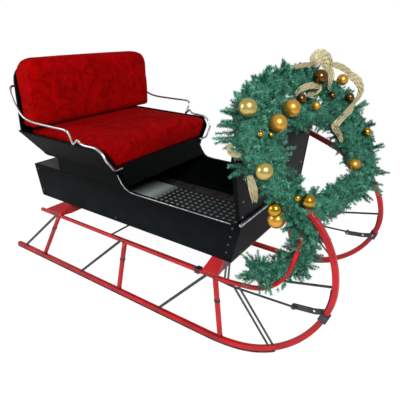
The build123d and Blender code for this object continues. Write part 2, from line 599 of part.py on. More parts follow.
front_rows = FRONT_BOARD + list(reversed(shifted(FRONT_BOARD, -FRONT_BOARD_THICK)))
front_top_z = FRONT_BOARD[1][1]
front_board = prism_xz(front_rows, -TRACK, TRACK) & prism_yz(both_sides([
    (inner_half, FRONT_BOARD[0][1]), (inner_half, seat_z),
    (seat_inner(seat_z) - SEAT_GAP, seat_z), (seat_inner(front_top_z) - SEAT_GAP, front_top_z),
]), SEAT_FRONT_X, 0)
save("seat_front_board", front_board)

# ---- cushions -------------------------------------------------------------------
cushion_bottom = base_top + SOFT_GAP
nose_bottom = front_top_z + SOFT_GAP
rear_x, rear_z = shifted(BACK_BOARD, SEAT_BOARD + CUSHION_REAR_GAP)[0]
seat_cushion = prism_xz([
    (rear_x + (cushion_bottom - rear_z) * rear_slope, cushion_bottom, 0),
    (CUSHION_NOSE_X, cushion_bottom, 0),
    (CUSHION_NOSE_X, nose_bottom, 0), (CUSHION_FRONT_X, nose_bottom, 0),
    (CUSHION_FRONT_X, CUSHION_TOP_Z, CUSHION_FILLET),
    (rear_x + (CUSHION_TOP_Z - rear_z) * rear_slope, CUSHION_TOP_Z, 0),
], -TRACK, TRACK) & prism_yz(both_sides([
    (seat_inner(cushion_bottom) - CUSHION_SIDE_GAP, cushion_bottom, 0),
    (seat_inner(CUSHION_TOP_Z) - CUSHION_SIDE_GAP, CUSHION_TOP_Z, CUSHION_SIDE_FILLET),
]), 2 * SEAT_BASE_REAR_X, 0)
save("seat_cushion", seat_cushion)

(cushion_x0, cushion_z0), (cushion_x1, cushion_z1) = BACK_CUSHION
back_cushion = prism_xz([
    (cushion_x0, cushion_z0, CUSHION_FILLET), (cushion_x1, cushion_z1, CUSHION_FILLET),
    (cushion_x1 - BACK_CUSHION_THICK, cushion_z1, CUSHION_FILLET),
    (cushion_x0 - BACK_CUSHION_THICK, cushion_z0, 0),
], -TRACK, TRACK) & prism_yz(both_sides([
    (BACK_CUSHION_HALF, cushion_z0, CUSHION_SIDE_FILLET),
    (BACK_CUSHION_HALF, cushion_z1, BACK_CUSHION_CORNER),
]), 2 * cushion_x0, 0)
save("back_cushion", back_cushion)

# ---- arm rails ------------------------------------------------------------------
side_top_half = seat_inner(SEAT_SIDE_TOP_Z) + side_thick
rail_route = ([(x, y, SEAT_SIDE_TOP_Z + up) for x, y, up in RAIL_REAR]
              + [(x, side_top_half + out, SEAT_SIDE_TOP_Z + up) for x, out, up in RAIL_ARM]
              + [(x, y, SEAT_BASE_Z + up) for x, y, up in RAIL_FRONT])
rail = bent_rod(rail_route, RAIL_BEND, RAIL_DIA)
save_pair("arm_rail", rail - back_board - front_board)

# ---- dash board and its edge trim -----------------------------------------------
dash_front_x = DASH_X + DASH_THICK
panel_slope = FRONT_RAKE / (SILL_Z - BODY_BOTTOM_Z)
(panel_x, panel_z), _ = front_inner
taper_z = panel_z + (dash_front_x - panel_x) / panel_slope
taper_x = panel_x + (DASH_BOTTOM_Z - panel_z) * panel_slope
dash_flare_z = SILL_Z + TRIM_THICK + 2 * SEAT_GAP
dash_section = prism_xz([
    (DASH_X, DASH_BOTTOM_Z), (taper_x, DASH_BOTTOM_Z), (dash_front_x, taper_z),
    (dash_front_x, DASH_TOP_Z), (DASH_X, DASH_TOP_Z)], -TRACK, TRACK)
dash_edge = [(inner_half, DASH_BOTTOM_Z, 0), (inner_half, dash_flare_z, 0),
             (DASH_HALF_TOP, DASH_TOP_Z, DASH_CORNER)]
dash_board = dash_section & prism_yz(both_sides(dash_edge), 0, 2 * DASH_X)
save("dash_board", dash_board)

edge_low_z = dash_flare_z + BOARD
low_half = inner_half + (edge_low_z - dash_flare_z) * (
    (DASH_HALF_TOP - inner_half) / (DASH_TOP_Z - dash_flare_z))


def dash_rim(out, lap):
    """The dash's outline above the sill, grown by out, and by lap in thickness."""
    return prism_yz(both_sides([
        (low_half + out, edge_low_z, 0),
        (DASH_HALF_TOP + out, DASH_TOP_Z + out, DASH_CORNER + out),
    ]), DASH_X - lap, dash_front_x + lap)


edge_out = SEAT_GAP + DASH_EDGE
save("dash_edge_trim", dash_rim(edge_out, DASH_EDGE_LAP) - dash_rim(SEAT_GAP, DASH_EDGE_LAP))

# ---- wreath: ring, tail, baubles and bow ------------------------------------------
lean, turn = radians(WREATH_LEAN), radians(-WREATH_TURN)
wreath_x, wreath_z = dash_front_x + WREATH_AHEAD, DASH_TOP_Z - WREATH_DROP
ring_plane = Plane(origin=(wreath_x, 0, wreath_z), x_dir=(-sin(turn), cos(turn), 0),
                   z_dir=(cos(lean) * cos(turn), cos(lean) * sin(turn), sin(lean)))
ring_half = (WREATH_WIDTH - WREATH_HEIGHT) / 2
ring_radius = WREATH_HEIGHT / 2
ring_quarter = radians(90) * ring_radius
ring_length = 4 * ring_half + 4 * ring_quarter


def ring_at(share):
    """Across, up and outward angle on the ring's line, from its left end over the top."""
    along = share * ring_length
    if along < ring_quarter:
        angle = along / ring_radius
        return ring_half + ring_radius * cos(angle), ring_radius * sin(angle), angle
    along -= ring_quarter
    if along < 2 * ring_half:
        return ring_half - along, ring_radius, radians(90)
    along -= 2 * ring_half
    if along < 2 * ring_quarter:
        angle = radians(90) + along / ring_radius
        return -ring_half + ring_radius * cos(angle), ring_radius * sin(angle), angle
    along -= 2 * ring_quarter
    if along < 2 * ring_half:
        return -ring_half + along, -ring_radius, radians(270)
    angle = radians(270) + (along - 2 * ring_half) / ring_radius
    return ring_half + ring_radius * cos(angle), ring_radius * sin(angle), angle


ring_line = Wire([
    Line((-ring_half, -ring_radius), (ring_half, -ring_radius)),
    ThreePointArc((ring_half, -ring_radius), (ring_half + ring_radius, 0),
                  (ring_half, ring_radius)),
    Line((ring_half, ring_radius), (-ring_half, ring_radius)),
    ThreePointArc((-ring_half, ring_radius), (-ring_half - ring_radius, 0),
                  (-ring_half, -ring_radius)),
])
limb = Plane(origin=ring_line @ 0, z_dir=ring_line % 0) * Circle(LIMB_RADIUS)
ring = ring_plane.location * sweep(limb, path=ring_line)

bauble_places = [(Pos(wreath_x + x, y, wreath_z + z), size) for x, y, z, size in TAIL_BAUBLES]
for share, round_limb, size in BAUBLES:
    across, up, outward = ring_at(share)
    reach = LIMB_RADIUS + BAUBLE_STAND * size
    out = reach * sin(radians(round_limb))
    place = Pos(across + out * cos(outward), up + out * sin(outward),
                reach * cos(radians(round_limb)))
    bauble_places.append((ring_plane.location * place, size))
strand_points = []
for share, inward in STRAND_ROUTE:
    across, up, outward = ring_at(share)
    strand_points.append((across - inward * cos(outward), up - inward * sin(outward), 0))
strand_line = FilletPolyline(*strand_points, radius=STRAND_BEND)
for share, round_limb, size in STRAND_BAUBLES:
    middle, way = strand_line @ share, strand_line % share
    reach = STRAND_RADIUS + BAUBLE_STAND * size
    out = reach * sin(radians(round_limb))
    place = Pos(middle.X + out * way.Y, middle.Y - out * way.X, reach * cos(radians(round_limb)))
    bauble_places.append((ring_plane.location * place, size))
bauble_balls = [place * Sphere(size) for place, size in bauble_places]
bauble_holes = [place * Sphere(size + SOFT_GAP) for place, size in bauble_places]
save("baubles", Compound(children=bauble_balls))

soft = 2 * SOFT_GAP
runner_room = curled_bar(RUNNER_REAR_X, runner_middle, runner_straight, RUNNER_CURL,
                         -(RUNNER_HEIGHT + soft) / 2, (RUNNER_HEIGHT + soft) / 2,
                         RUNNER_WIDTH + soft, dash_front)
rave_room = curled_bar(RAVE_REAR_X, RAVE_HEIGHT, rave_straight, RAVE_CURL,
                       -(RAVE_SIZE + soft) / 2, (RAVE_SIZE + soft) / 2,
                       RAVE_SIZE + soft, rave_end)
strut_room = rod_between((strut_x0, 0, strut_h0), (strut_x1, 0, strut_h1), STRUT_DIA + soft)
iron_room = []
for room in (on_left_frame(runner_room), on_left_frame(rave_room), on_left_frame(strut_room)):
    iron_room += [room, mirror(room, about=Plane.XZ)]
dash_room = dash_rim(edge_out + SOFT_GAP, DASH_EDGE_LAP + SOFT_GAP)
save("wreath_ring", ring - iron_room - dash_room - bauble_holes)

ring_room = ring_plane.location * sweep(
    Plane(origin=ring_line @ 0, z_dir=ring_line % 0) * Circle(LIMB_RADIUS + SOFT_GAP),
    path=ring_line)
strand = ring_plane.location * bent_rod(strand_points, STRAND_BEND, 2 * STRAND_RADIUS)
strand_parts = (strand - ring_room - iron_room - dash_room - bauble_holes).solids()
save("garland_strand", Part(strand_parts.sort_by(SortBy.VOLUME)[-1].wrapped))

tail = Pos(wreath_x, 0, wreath_z) * bent_rod(TAIL_ROUTE, TAIL_BEND, 2 * TAIL_RADIUS)
tail_parts = (tail - ring_room - iron_room - bauble_holes).solids()
save("garland_tail", Part(tail_parts.sort_by(SortBy.VOLUME)[-1].wrapped))

across, up, outward = ring_at(BOW_SHARE)
bow_place = ring_plane.location * Pos(across, up, 0) * Rot(0, 0, degrees(outward) + 90)
band_radius = LIMB_RADIUS + RIBBON_ROOM
band = bow_place * Rot(0, 90, 0) * (
    Cylinder(band_radius + RIBBON_THICK, RIBBON_WIDTH) - Cylinder(band_radius, RIBBON_WIDTH))
bow_rows = [(BOW_LENGTH / 2, -BOW_WIDTH / 2), (BOW_LENGTH / 2, BOW_WIDTH / 2), (0, BOW_WAIST / 2),
            (-BOW_LENGTH / 2, BOW_WIDTH / 2), (-BOW_LENGTH / 2, -BOW_WIDTH / 2),
            (0, -BOW_WAIST / 2)]
bow = extrude(make_face(Polyline(*bow_rows, close=True)), amount=BOW_THICK)
save("ribbon_bow", band + bow_place * Rot(BOW_TURN, 0, 0) * Pos(0, 0, band_radius + BOW_STAND) * bow)
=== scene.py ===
"""A one-horse sleigh: red curled runners, black box body, plush seat, fir wreath over the dash."""

import bpy
import numpy as np
from mathutils import Matrix, Vector


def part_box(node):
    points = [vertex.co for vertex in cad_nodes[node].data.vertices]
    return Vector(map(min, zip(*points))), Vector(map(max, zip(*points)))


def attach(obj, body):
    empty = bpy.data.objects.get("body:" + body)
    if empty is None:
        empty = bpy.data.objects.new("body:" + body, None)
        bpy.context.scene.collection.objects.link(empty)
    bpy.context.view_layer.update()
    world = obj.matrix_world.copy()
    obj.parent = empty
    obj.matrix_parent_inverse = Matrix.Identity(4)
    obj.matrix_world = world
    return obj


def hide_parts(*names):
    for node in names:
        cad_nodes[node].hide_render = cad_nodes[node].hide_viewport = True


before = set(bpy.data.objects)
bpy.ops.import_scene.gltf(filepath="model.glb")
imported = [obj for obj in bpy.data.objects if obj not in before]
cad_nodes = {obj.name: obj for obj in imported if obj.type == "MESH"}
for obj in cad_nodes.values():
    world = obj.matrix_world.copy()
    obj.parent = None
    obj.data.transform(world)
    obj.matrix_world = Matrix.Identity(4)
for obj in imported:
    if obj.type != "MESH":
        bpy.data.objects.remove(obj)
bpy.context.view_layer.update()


# ---- The studio: a pale floor and soft light ----------------------------------
# The sleigh stands on a pale seamless floor. One large soft box hangs over the
# right shoulder, a wide one fills from the left, and the room itself is bright.

def linear(hex_colour):
    """An sRGB hex colour as linear RGBA."""
    srgb = np.array([int(hex_colour[i:i + 2], 16) for i in (1, 3, 5)]) / 255
    light = np.where(srgb <= 0.04045, srgb / 12.92, ((srgb + 0.055) / 1.055) ** 2.4)
    return (*light, 1.0)


def unit(vectors):
    """Vectors along the last axis, scaled to a length of one."""
    return vectors / np.linalg.norm(vectors, axis=-1, keepdims=True)


def add(tree, kind, inputs=(), **settings):
    """A node of a kind, with its settings, and its inputs as values or as sockets to link."""
    new = tree.nodes.new("ShaderNode" + kind)
    for name, value in settings.items():
        setattr(new, name, value)
    for name, value in dict(inputs).items():
        if isinstance(value, bpy.types.NodeSocket):
            tree.links.new(value, new.inputs[name])
        else:
            new.inputs[name].default_value = value
    return new


CAMERA_PLACE = (1.339155, -1.862134, 1.467406)
CAMERA_TURN = (0.580620, 0.415647, 0.0218124)      # yaw, pitch and roll in radians
CAMERA_LENS, CAMERA_SENSOR = 36.61, 36.0           # in mm


def place_camera():
    """The camera stands forward of the sleigh on its right, a little above the back cushion."""
    yaw, pitch, roll = CAMERA_TURN
    ahead = np.array([-np.sin(yaw) * np.cos(pitch), np.cos(yaw) * np.cos(pitch), -np.sin(pitch)])
    right = unit(np.cross(ahead, (0, 0, 1)))
    up = np.cross(right, ahead)
    turned = (np.cos(roll) * right + np.sin(roll) * up, -np.sin(roll) * right + np.cos(roll) * up)
    data = bpy.data.cameras.new("camera")
    data.sensor_width = CAMERA_SENSOR
    data.lens = CAMERA_LENS
    camera = bpy.data.objects.new("camera", data)
    basis = Matrix([Vector(v) for v in (*turned, -ahead)]).transposed().to_4x4()
    camera.matrix_world = Matrix.Translation(CAMERA_PLACE) @ basis
    bpy.context.collection.objects.link(camera)
    bpy.context.scene.camera = camera


def place_lamp(name, where, towards, size, power):
    data = bpy.data.lights.new(name, "AREA")
    data.shape = "DISK"
    data.size = size
    data.energy = power
    lamp = bpy.data.objects.new(name, data)
    lamp.location = where
    lamp.rotation_euler = (Vector(towards) - Vector(where)).to_track_quat("-Z", "Y").to_euler()
    bpy.context.collection.objects.link(lamp)


def light_room():
    """White where the camera sees it, and a plain grey level for the light itself."""
    world = bpy.data.worlds.new("room")
    bpy.context.scene.world = world
    world.use_nodes = True
    tree = world.node_tree
    tree.nodes.clear()
    path = add(tree, "LightPath")
    seen = add(tree, "Math", {0: path.outputs["Is Camera Ray"], 1: path.outputs["Is Transmission Ray"]},
               operation="MAXIMUM")
    fill = add(tree, "Background", {"Color": linear("#E9EEF4"), "Strength": 0.62})
    white = add(tree, "Background", {"Color": linear("#FFFFFF"), "Strength": 1.0})
    mix = add(tree, "MixShader", {0: seen.outputs[0], 1: fill.outputs[0], 2: white.outputs[0]})
    add(tree, "OutputWorld", {"Surface": mix.outputs[0]})


place_camera()
light_room()
place_lamp("soft_box", (2.6, -2.4, 3.4), (0.0, 0.0, 0.6), 1.8, 150.0)
place_lamp("fill_box", (-2.8, -3.0, 2.2), (-0.2, 0.0, 0.6), 2.4, 60.0)
bpy.context.scene.view_settings.view_transform = "Standard"


def make_mesh(name, vertices, *face_sets, smooth=True):
    """An object from vertices (n, 3) and arrays of faces with 3 or 4 corners a row."""
    face_sets = [np.asarray(faces) for faces in face_sets]
    corners = np.concatenate([faces.ravel() for faces in face_sets]).astype(np.int32)
    counts = np.concatenate([np.full(len(faces), faces.shape[1]) for faces in face_sets])
    mesh = bpy.data.meshes.new(name)
    mesh.vertices.add(len(vertices))
    mesh.vertices.foreach_set("co", np.asarray(vertices, dtype=np.float32).ravel())
    mesh.loops.add(len(corners))
    mesh.loops.foreach_set("vertex_index", corners)
    mesh.polygons.add(len(counts))
    mesh.polygons.foreach_set("loop_start", (np.cumsum(counts) - counts).astype(np.int32))
    mesh.polygons.foreach_set("use_smooth", np.full(len(counts), smooth))
    mesh.update(calc_edges=True)
    mesh.validate()
    piece = bpy.data.objects.new(name, mesh)
    bpy.context.collection.objects.link(piece)
    return piece


def floor_material():
    """Pale matt paper; to the camera it is nearly all white, with a little of its shadow left in."""
    material = bpy.data.materials.new("studio_paper")
    material.use_nodes = True
    tree = material.node_tree
    shader = tree.nodes["Principled BSDF"]
    shader.inputs["Base Color"].default_value = linear("#F3F3F2")
    shader.inputs["Roughness"].default_value = 0.9
    path = add(tree, "LightPath")
    seen = add(tree, "Math", {0: path.outputs["Is Camera Ray"], 1: path.outputs["Is Transmission Ray"]},
               operation="MAXIMUM")
    share = add(tree, "Math", {0: seen.outputs[0], 1: 0.88}, operation="MULTIPLY")
    white = add(tree, "Emission", {"Color": linear("#FFFFFF"), "Strength": 1.08})
    mix = add(tree, "MixShader", {0: share.outputs[0], 1: shader.outputs[0], 2: white.outputs[0]})
    tree.links.new(mix.outputs[0], tree.nodes["Material Output"].inputs["Surface"])
    return material


corners = np.array([(-9, -9, 0), (9, -9, 0), (9, 9, 0), (-9, 9, 0)], dtype=float)
floor = make_mesh("studio_floor", corners, [(0, 1, 2, 3)], smooth=False)
floor.data.materials.append(floor_material())


# ---- Runners and raves: the red bars of the two side frames --------------------
# Each side has a runner on the ground and a lighter rave above it. Both are ash
# bars, steamed and bent up into curls, rounded at their edges, primed and then
# coated with red coach enamel. The two frames lean in towards the body.
TRACK = 0.965
SPLAY = np.radians(7.0)
RUNNER = {"start": -1.0705, "height": 0.0175, "straight": 1.5725, "width": 0.028, "depth": 0.025,
          "end": 0.5842, "curl": [(0.840, 12), (0.490, 64), (0.260, 17), (0.410, 66)]}
RAVE = {"start": -0.805, "height": 0.340, "straight": 1.305, "width": 0.020, "depth": 0.020,
        "end": 0.730, "curl": [(0.900, 7), (0.071, 0), (0.216, 72), (0.084, 0), (0.208, 84)]}


CURL_STEP = 0.0005      # how finely the heading is summed along a bar


def curl_line(bar, step=0.008):
    """Places (x, height) and headings along a bar's line.

    The heading is the sum of the curvature along the line, and the place is the sum
    of the heading's cosine and sine. The last run goes straight on to the bar's end.
    """
    lengths = [bar["straight"]] + [r * np.radians(t) if t else r for r, t in bar["curl"]]
    turns = [0.0] + [np.radians(t) for _, t in bar["curl"]]
    stations = np.concatenate([[0], np.cumsum(lengths)])
    headings = np.concatenate([[0], np.cumsum(turns)])
    fine = np.arange(0, stations[-1] + 0.6, CURL_STEP)
    heading = np.interp(fine, stations, headings)
    between = heading[1:] - np.diff(heading) / 2
    x = bar["start"] + np.concatenate([[0], np.cumsum(np.cos(between))]) * CURL_STEP
    z = bar["height"] + np.concatenate([[0], np.cumsum(np.sin(between))]) * CURL_STEP
    back = (fine > stations[-1] - 0.05) & (x <= bar["end"])
    last = np.argmax(back) + 1
    keep = np.unique(np.append(np.arange(0, last, int(step / CURL_STEP)), last - 1))
    return x[keep], z[keep], heading[keep]


def rounded_section(width, depth, radius, per_corner=5):
    """A closed rectangle with round corners: a quarter circle about each corner's centre."""
    turn = np.linspace(0, np.pi / 2, per_corner)
    angles = np.concatenate([turn + quarter * np.pi / 2 for quarter in range(4)])
    side = np.repeat([(1, 1), (-1, 1), (-1, -1), (1, -1)], per_corner, axis=0)
    across = side[:, 0] * (width / 2 - radius) + radius * np.cos(angles)
    up = side[:, 1] * (depth / 2 - radius) + radius * np.sin(angles)
    return across, up


def grid_faces(rows, columns, closed=True):
    """Quads between neighbouring rows of points, and round each row where it is closed."""
    start = np.arange(rows - 1)[:, None] * columns
    here = np.arange(columns if closed else columns - 1)[None, :]
    there = (here + 1) % columns
    return np.stack([start + here, start + there, start + columns + there, start + columns + here],
                    axis=-1).reshape(-1, 4)


def outward(vertices, *face_sets):
    """The same faces, turned over where the volume that they close comes out negative."""
    volume = 0.0
    for faces in face_sets:
        corners = vertices[faces]
        for k in range(1, faces.shape[1] - 1):
            volume += np.einsum("ij,ij->", corners[:, 0], np.cross(corners[:, k], corners[:, k + 1]))
    return [faces if volume > 0 else faces[:, ::-1] for faces in face_sets]


def closed_tube(rings):
    """Vertices and faces of a tube through rings (n, m, 3), with a fan over each end."""
    count, around = rings.shape[:2]
    vertices = np.concatenate([rings.reshape(-1, 3), rings[[0, -1]].mean(axis=1)])
    here = np.arange(around)
    there = (here + 1) % around
    first = np.stack([there, here, np.full(around, count * around)], axis=-1)
    last = np.stack([here, there, np.full(around, count * around + 1)], axis=-1)
    last[:, :2] += (count - 1) * around
    return vertices, outward(vertices, grid_faces(count, around), np.concatenate([first, last]))


def on_side_frame(points, side):
    """From (x, across, height) upright to the frame's splayed place; side is 1 left, -1 right."""
    x, across, height = np.moveaxis(points, -1, 0)
    y = TRACK / 2 + across * np.cos(SPLAY) - height * np.sin(SPLAY)
    z = across * np.sin(SPLAY) + height * np.cos(SPLAY)
    return np.stack([x, side * y, z], axis=-1)


def curled_rings(bar, radius):
    """Rings of the bar's section, square to its line, as (x, across, height)."""
    x, z, heading = curl_line(bar)
    across, up = rounded_section(bar["width"], bar["depth"], radius)
    return np.stack([x[:, None] - up * np.sin(heading)[:, None],
                     np.broadcast_to(across, (len(x), len(across))),
                     z[:, None] + up * np.cos(heading)[:, None]], axis=-1)


def surface_tree(name, base, **sockets):
    """A material's tree and its shader, with a base colour and plain socket values."""
    material = bpy.data.materials.new(name)
    material.use_nodes = True
    shader = material.node_tree.nodes["Principled BSDF"]
    shader.inputs["Base Color"].default_value = linear(base)
    for socket, value in sockets.items():
        shader.inputs[socket.replace("_", " ")].default_value = value
    return material, material.node_tree, shader


def noise_at(tree, vector, size, detail):
    """Noise whose largest features are of a size in metres."""
    return add(tree, "TexNoise", {"Vector": vector, "Scale": 1 / size, "Detail": detail})


def mottle(tree, shader, vector, size, low, high, detail=3.0):
    """Two colours over the surface, by noise of a size in metres; gives back the noise."""
    noise = noise_at(tree, vector, size, detail)
    ramp = add(tree, "ValToRGB", {"Fac": noise.outputs[0]})
    ramp.color_ramp.elements[0].position = 0.35
    ramp.color_ramp.elements[1].position = 0.65
    ramp.color_ramp.elements[0].color = linear(low)
    ramp.color_ramp.elements[1].color = linear(high)
    tree.links.new(ramp.outputs[0], shader.inputs["Base Color"])
    return noise


def bumped(tree, shader, height, depth, strength=1.0):
    bump = add(tree, "Bump", {"Height": height, "Distance": depth, "Strength": strength})
    tree.links.new(bump.outputs[0], shader.inputs["Normal"])


def red_coach_enamel():
    """Brushed gloss enamel over wood: a deep clear red, level but for a slight brush ripple."""
    material, tree, shader = surface_tree("red_coach_enamel", "#B80E18", Roughness=0.34,
                                          Specular_IOR_Level=0.30, Coat_Weight=0.12,
                                          Coat_Roughness=0.15)
    where = add(tree, "TexCoord").outputs["Object"]
    mottle(tree, shader, where, 0.12, "#960910", "#B80D15")
    ripple = add(tree, "TexNoise", {"Vector": where, "Scale": 60.0, "Detail": 2.0})
    bumped(tree, shader, ripple.outputs[0], 0.0006, 0.5)
    return material


def feathered(rings, from_ring=-60, gap=0.0006):
    """The rave's end planed away where it lies against the runner's underside."""
    x, z, heading = curl_line(RUNNER)
    back = heading > np.pi / 2
    under_x = (x - RUNNER["depth"] / 2 * np.sin(heading))[back][::-1]
    under_z = (z + RUNNER["depth"] / 2 * np.cos(heading))[back][::-1]
    end = rings[from_ring:]
    end[..., 2] = np.minimum(end[..., 2], np.interp(end[..., 0], under_x, under_z) - gap)
    return rings


def fitted(piece, material, stands_for=None):
    """Gives a finished piece its material and what it rides on, and hides the CAD node that it stands for.
    """
    piece.data.materials.append(material)
    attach(piece, "root")
    if stands_for:
        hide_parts(stands_for)


red_enamel = red_coach_enamel()
for side, suffix in ((1, "left"), (-1, "right")):
    for label, bar, radius in (("runner", RUNNER, 0.006), ("rave", RAVE, 0.0055)):
        rings = curled_rings(bar, radius)
        vertices, faces = closed_tube(on_side_frame(feathered(rings) if bar is RAVE else rings, side))
        piece = make_mesh(f"{label}_bar_{suffix}", vertices, *faces)
        fitted(piece, red_enamel, f"{label}_{suffix}")


# ---- Shoes: the steel strips under the runners ---------------------------------
# Mild steel strip, rolled and bent, screwed up under each runner and round the foot
# of its curl. Snow and gravel keep its face bright and leave thin brown rust beside.
def finish_nodes(material, *names):
    """Gives CAD nodes a finish."""
    for name in names:
        for place in cad_nodes[name].material_slots:
            place.material = material


def pairs(*names):
    return [f"{name}_{suffix}" for name in names for suffix in ("left", "right")]


def rubbed_steel():
    """Worn strip: grey metal drawn along X in fine scratches, browned in patches."""
    material, tree, shader = surface_tree("rubbed_steel", "#55504C", Metallic=0.8, Roughness=0.5)
    where = add(tree, "TexCoord").outputs["Object"]
    along = add(tree, "Mapping", {"Vector": where, "Scale": (6.0, 120.0, 120.0)})
    mottle(tree, shader, where, 0.05, "#3A2A22", "#6E6C6C", detail=6.0)
    scratch = add(tree, "TexNoise", {"Vector": along.outputs[0], "Scale": 6.0, "Detail": 4.0})
    bumped(tree, shader, scratch.outputs[0], 0.0006, 0.6)
    return material


finish_nodes(rubbed_steel(), *pairs("shoe"))


# ---- Knees: the upright posts between runner and rave --------------------------
# Square ash posts with rounded arrises, tenoned into runner and rave, and enamelled
# red with them. A black iron band is shrunk round each post near its middle.
KNEES = [(-0.643, -0.795), (-0.087, -0.120), (0.505, 0.571)]
KNEE_WIDTH, KNEE_DEPTH = 0.024, 0.020
BAND_HEIGHTS = (0.242, 0.226, 0.219)
FOOT_HEIGHT, HEAD_HEIGHT = 0.020, 0.334


def post_rings(foot_x, head_x, heights, grow=0.0, radius=0.005):
    """Level sections of a leaning post: its middle moves evenly from foot to head."""
    across, along = rounded_section(KNEE_DEPTH + 2 * grow, KNEE_WIDTH + 2 * grow, radius)
    share = (heights - FOOT_HEIGHT) / (HEAD_HEIGHT - FOOT_HEIGHT)
    middle = foot_x + (head_x - foot_x) * share
    return np.stack([middle[:, None] + along, np.broadcast_to(across, (len(heights), len(across))),
                     np.broadcast_to(heights[:, None], (len(heights), len(across)))], axis=-1)


def joined(parts):
    """One set of vertices, quads and triangles from several closed tubes."""
    vertices, quads, triangles, count = [], [], [], 0
    for points, (fours, threes) in parts:
        vertices.append(points)
        quads.append(fours + count)
        triangles.append(threes + count)
        count += len(points)
    return np.concatenate(vertices), np.concatenate(quads), np.concatenate(triangles)


def black_wrought_iron():
    """Forged iron under black paint: dark, half matt, with hammer dimples a few mm across."""
    material, tree, shader = surface_tree("black_wrought_iron", "#0A0D10", Roughness=0.42,
                                          Specular_IOR_Level=0.6)
    where = add(tree, "TexCoord").outputs["Object"]
    mottle(tree, shader, where, 0.03, "#0B0D0F", "#262D31", detail=5.0)
    dimples = noise_at(tree, where, 0.006, 2.0)
    bumped(tree, shader, dimples.outputs[0], 0.0008, 0.6)
    return material


black_iron = black_wrought_iron()
post_heights = np.linspace(FOOT_HEIGHT, HEAD_HEIGHT, 7)
for side, suffix in ((1, "left"), (-1, "right")):
    posts, bands = [], []
    for (head_x, foot_x), band_height in zip(KNEES, BAND_HEIGHTS):
        posts.append(closed_tube(on_side_frame(post_rings(foot_x, head_x, post_heights), side)))
        edge = np.array([-0.008, -0.007, 0.007, 0.008]) + band_height
        rings = post_rings(foot_x, head_x, edge, grow=0.0016, radius=0.006)
        rings[[0, -1]] = post_rings(foot_x, head_x, edge, grow=0.0004, radius=0.005)[[0, -1]]
        bands.append(closed_tube(on_side_frame(rings, side)))
    knee_posts = make_mesh(f"knee_posts_{suffix}", *joined(posts))
    fitted(knee_posts, red_enamel, f"knees_{suffix}")
    knee_bands = make_mesh(f"knee_bands_{suffix}", *joined(bands))
    fitted(knee_bands, black_iron)


# ---- Braces, stays and bolts: black iron ---------------------------------------
# Flat braces lean back from rave to runner, round stays run forward and down to the
# curl, and short rods stand in a V under the body's front corners. Dome-headed coach
# bolts go through runner and rave wherever a post, brace or stay meets them.
finish_nodes(black_iron, *pairs("braces", "front_stays", "v_stays", "curl_strut", "rave_strap"))


def dome_heads(places, normals, radius, height, around=16, rings=4):
    """Round bolt heads: each a quarter circle turned about its normal, closed at its foot."""
    places, normals = np.asarray(places, float), np.asarray(normals, float)
    normals = unit(normals)
    helper = np.where(np.abs(normals[:, 2:]) < 0.9, [[0.0, 0.0, 1.0]], [[1.0, 0.0, 0.0]])
    first = unit(np.cross(normals, helper))
    second = np.cross(normals, first)
    turn = np.linspace(0, 2 * np.pi, around, endpoint=False)
    lift = np.append(0.0, np.linspace(0, np.pi / 2 * 0.9, rings))
    out = radius * np.cos(lift)
    up = height * np.sin(lift)
    up[0] = -0.001
    circle = (np.cos(turn)[:, None] * first[:, None] + np.sin(turn)[:, None] * second[:, None])
    parts = []
    for place, normal, ring in zip(places, normals, circle):
        rows = place + normal * up[:, None, None] + ring[None] * out[:, None, None]
        parts.append(closed_tube(rows))
    return joined(parts)


def bright_zinc():
    """Zinc-plated bolts: bright grey metal, a little cloudy."""
    material, tree, shader = surface_tree("bright_zinc", "#8C9196", Metallic=1.0, Roughness=0.34)
    where = add(tree, "TexCoord").outputs["Object"]
    mottle(tree, shader, where, 0.004, "#6E7378", "#A2A6AB")
    return material


zinc = bright_zinc()
rave_bolts = [-0.672, -0.643, -0.620, -0.122, -0.087, 0.452, 0.482, 0.505]
runner_bolts = [-0.990, -0.795, -0.435, -0.120, 0.180]
for side, suffix in ((1, "left"), (-1, "right")):
    spots = np.array([(x, bar["width"] / 2, bar["height"]) for bar, row in
                      ((RAVE, rave_bolts), (RUNNER, runner_bolts)) for x in row])
    outer = on_side_frame(spots, side)
    outward_way = on_side_frame(spots + (0, 1, 0), side) - outer
    heads = make_mesh(f"frame_bolts_{suffix}", *dome_heads(outer, outward_way, 0.0062, 0.0034))
    fitted(heads, black_iron)


# ---- Benches: the cross bars that carry the body -------------------------------
# Two ash benches lie across the raves under the body's ends. Their ends widen into
# flat feet on the raves, and they are enamelled red like the frames below them.
finish_nodes(red_enamel, "bench_rear", "bench_front")


# ---- Draft gear: rods, links and clamps that take the horse's pull -------------
# A rod under the body joins two long draft rods that lie along the raves. Each ends
# in a flat iron link, bolted to a clamp on the runner's curl, whose front carries the
# eye that a shaft is pinned in.
finish_nodes(black_iron, "cross_rod", *pairs("draft_rod", "curl_clamp", "draft_link"))
LINK_BOLTS = [(0.898, 0.334), (1.0368, 0.362)]
LINK_FACE = -0.029      # the link's inner face, across the side frame
for side, suffix in ((1, "left"), (-1, "right")):
    spots = np.array([(x, LINK_FACE, h) for x, h in LINK_BOLTS])
    inward = on_side_frame(spots - (0, 0.01, 0), side) - on_side_frame(spots, side)
    spots = on_side_frame(spots, side)
    heads = make_mesh(f"link_bolts_{suffix}", *dome_heads(spots, inward, 0.0085, 0.005))
    fitted(heads, zinc)


# ---- Body: a box of boards in black coach enamel -------------------------------
# The sides are single boards that rise in a scroll to the seat riser. They are primed,
# rubbed down and coated with black enamel; a thin bead covers each joint, and iron
# corner bolts hold the raked front panel.
BODY_HALF = 0.387


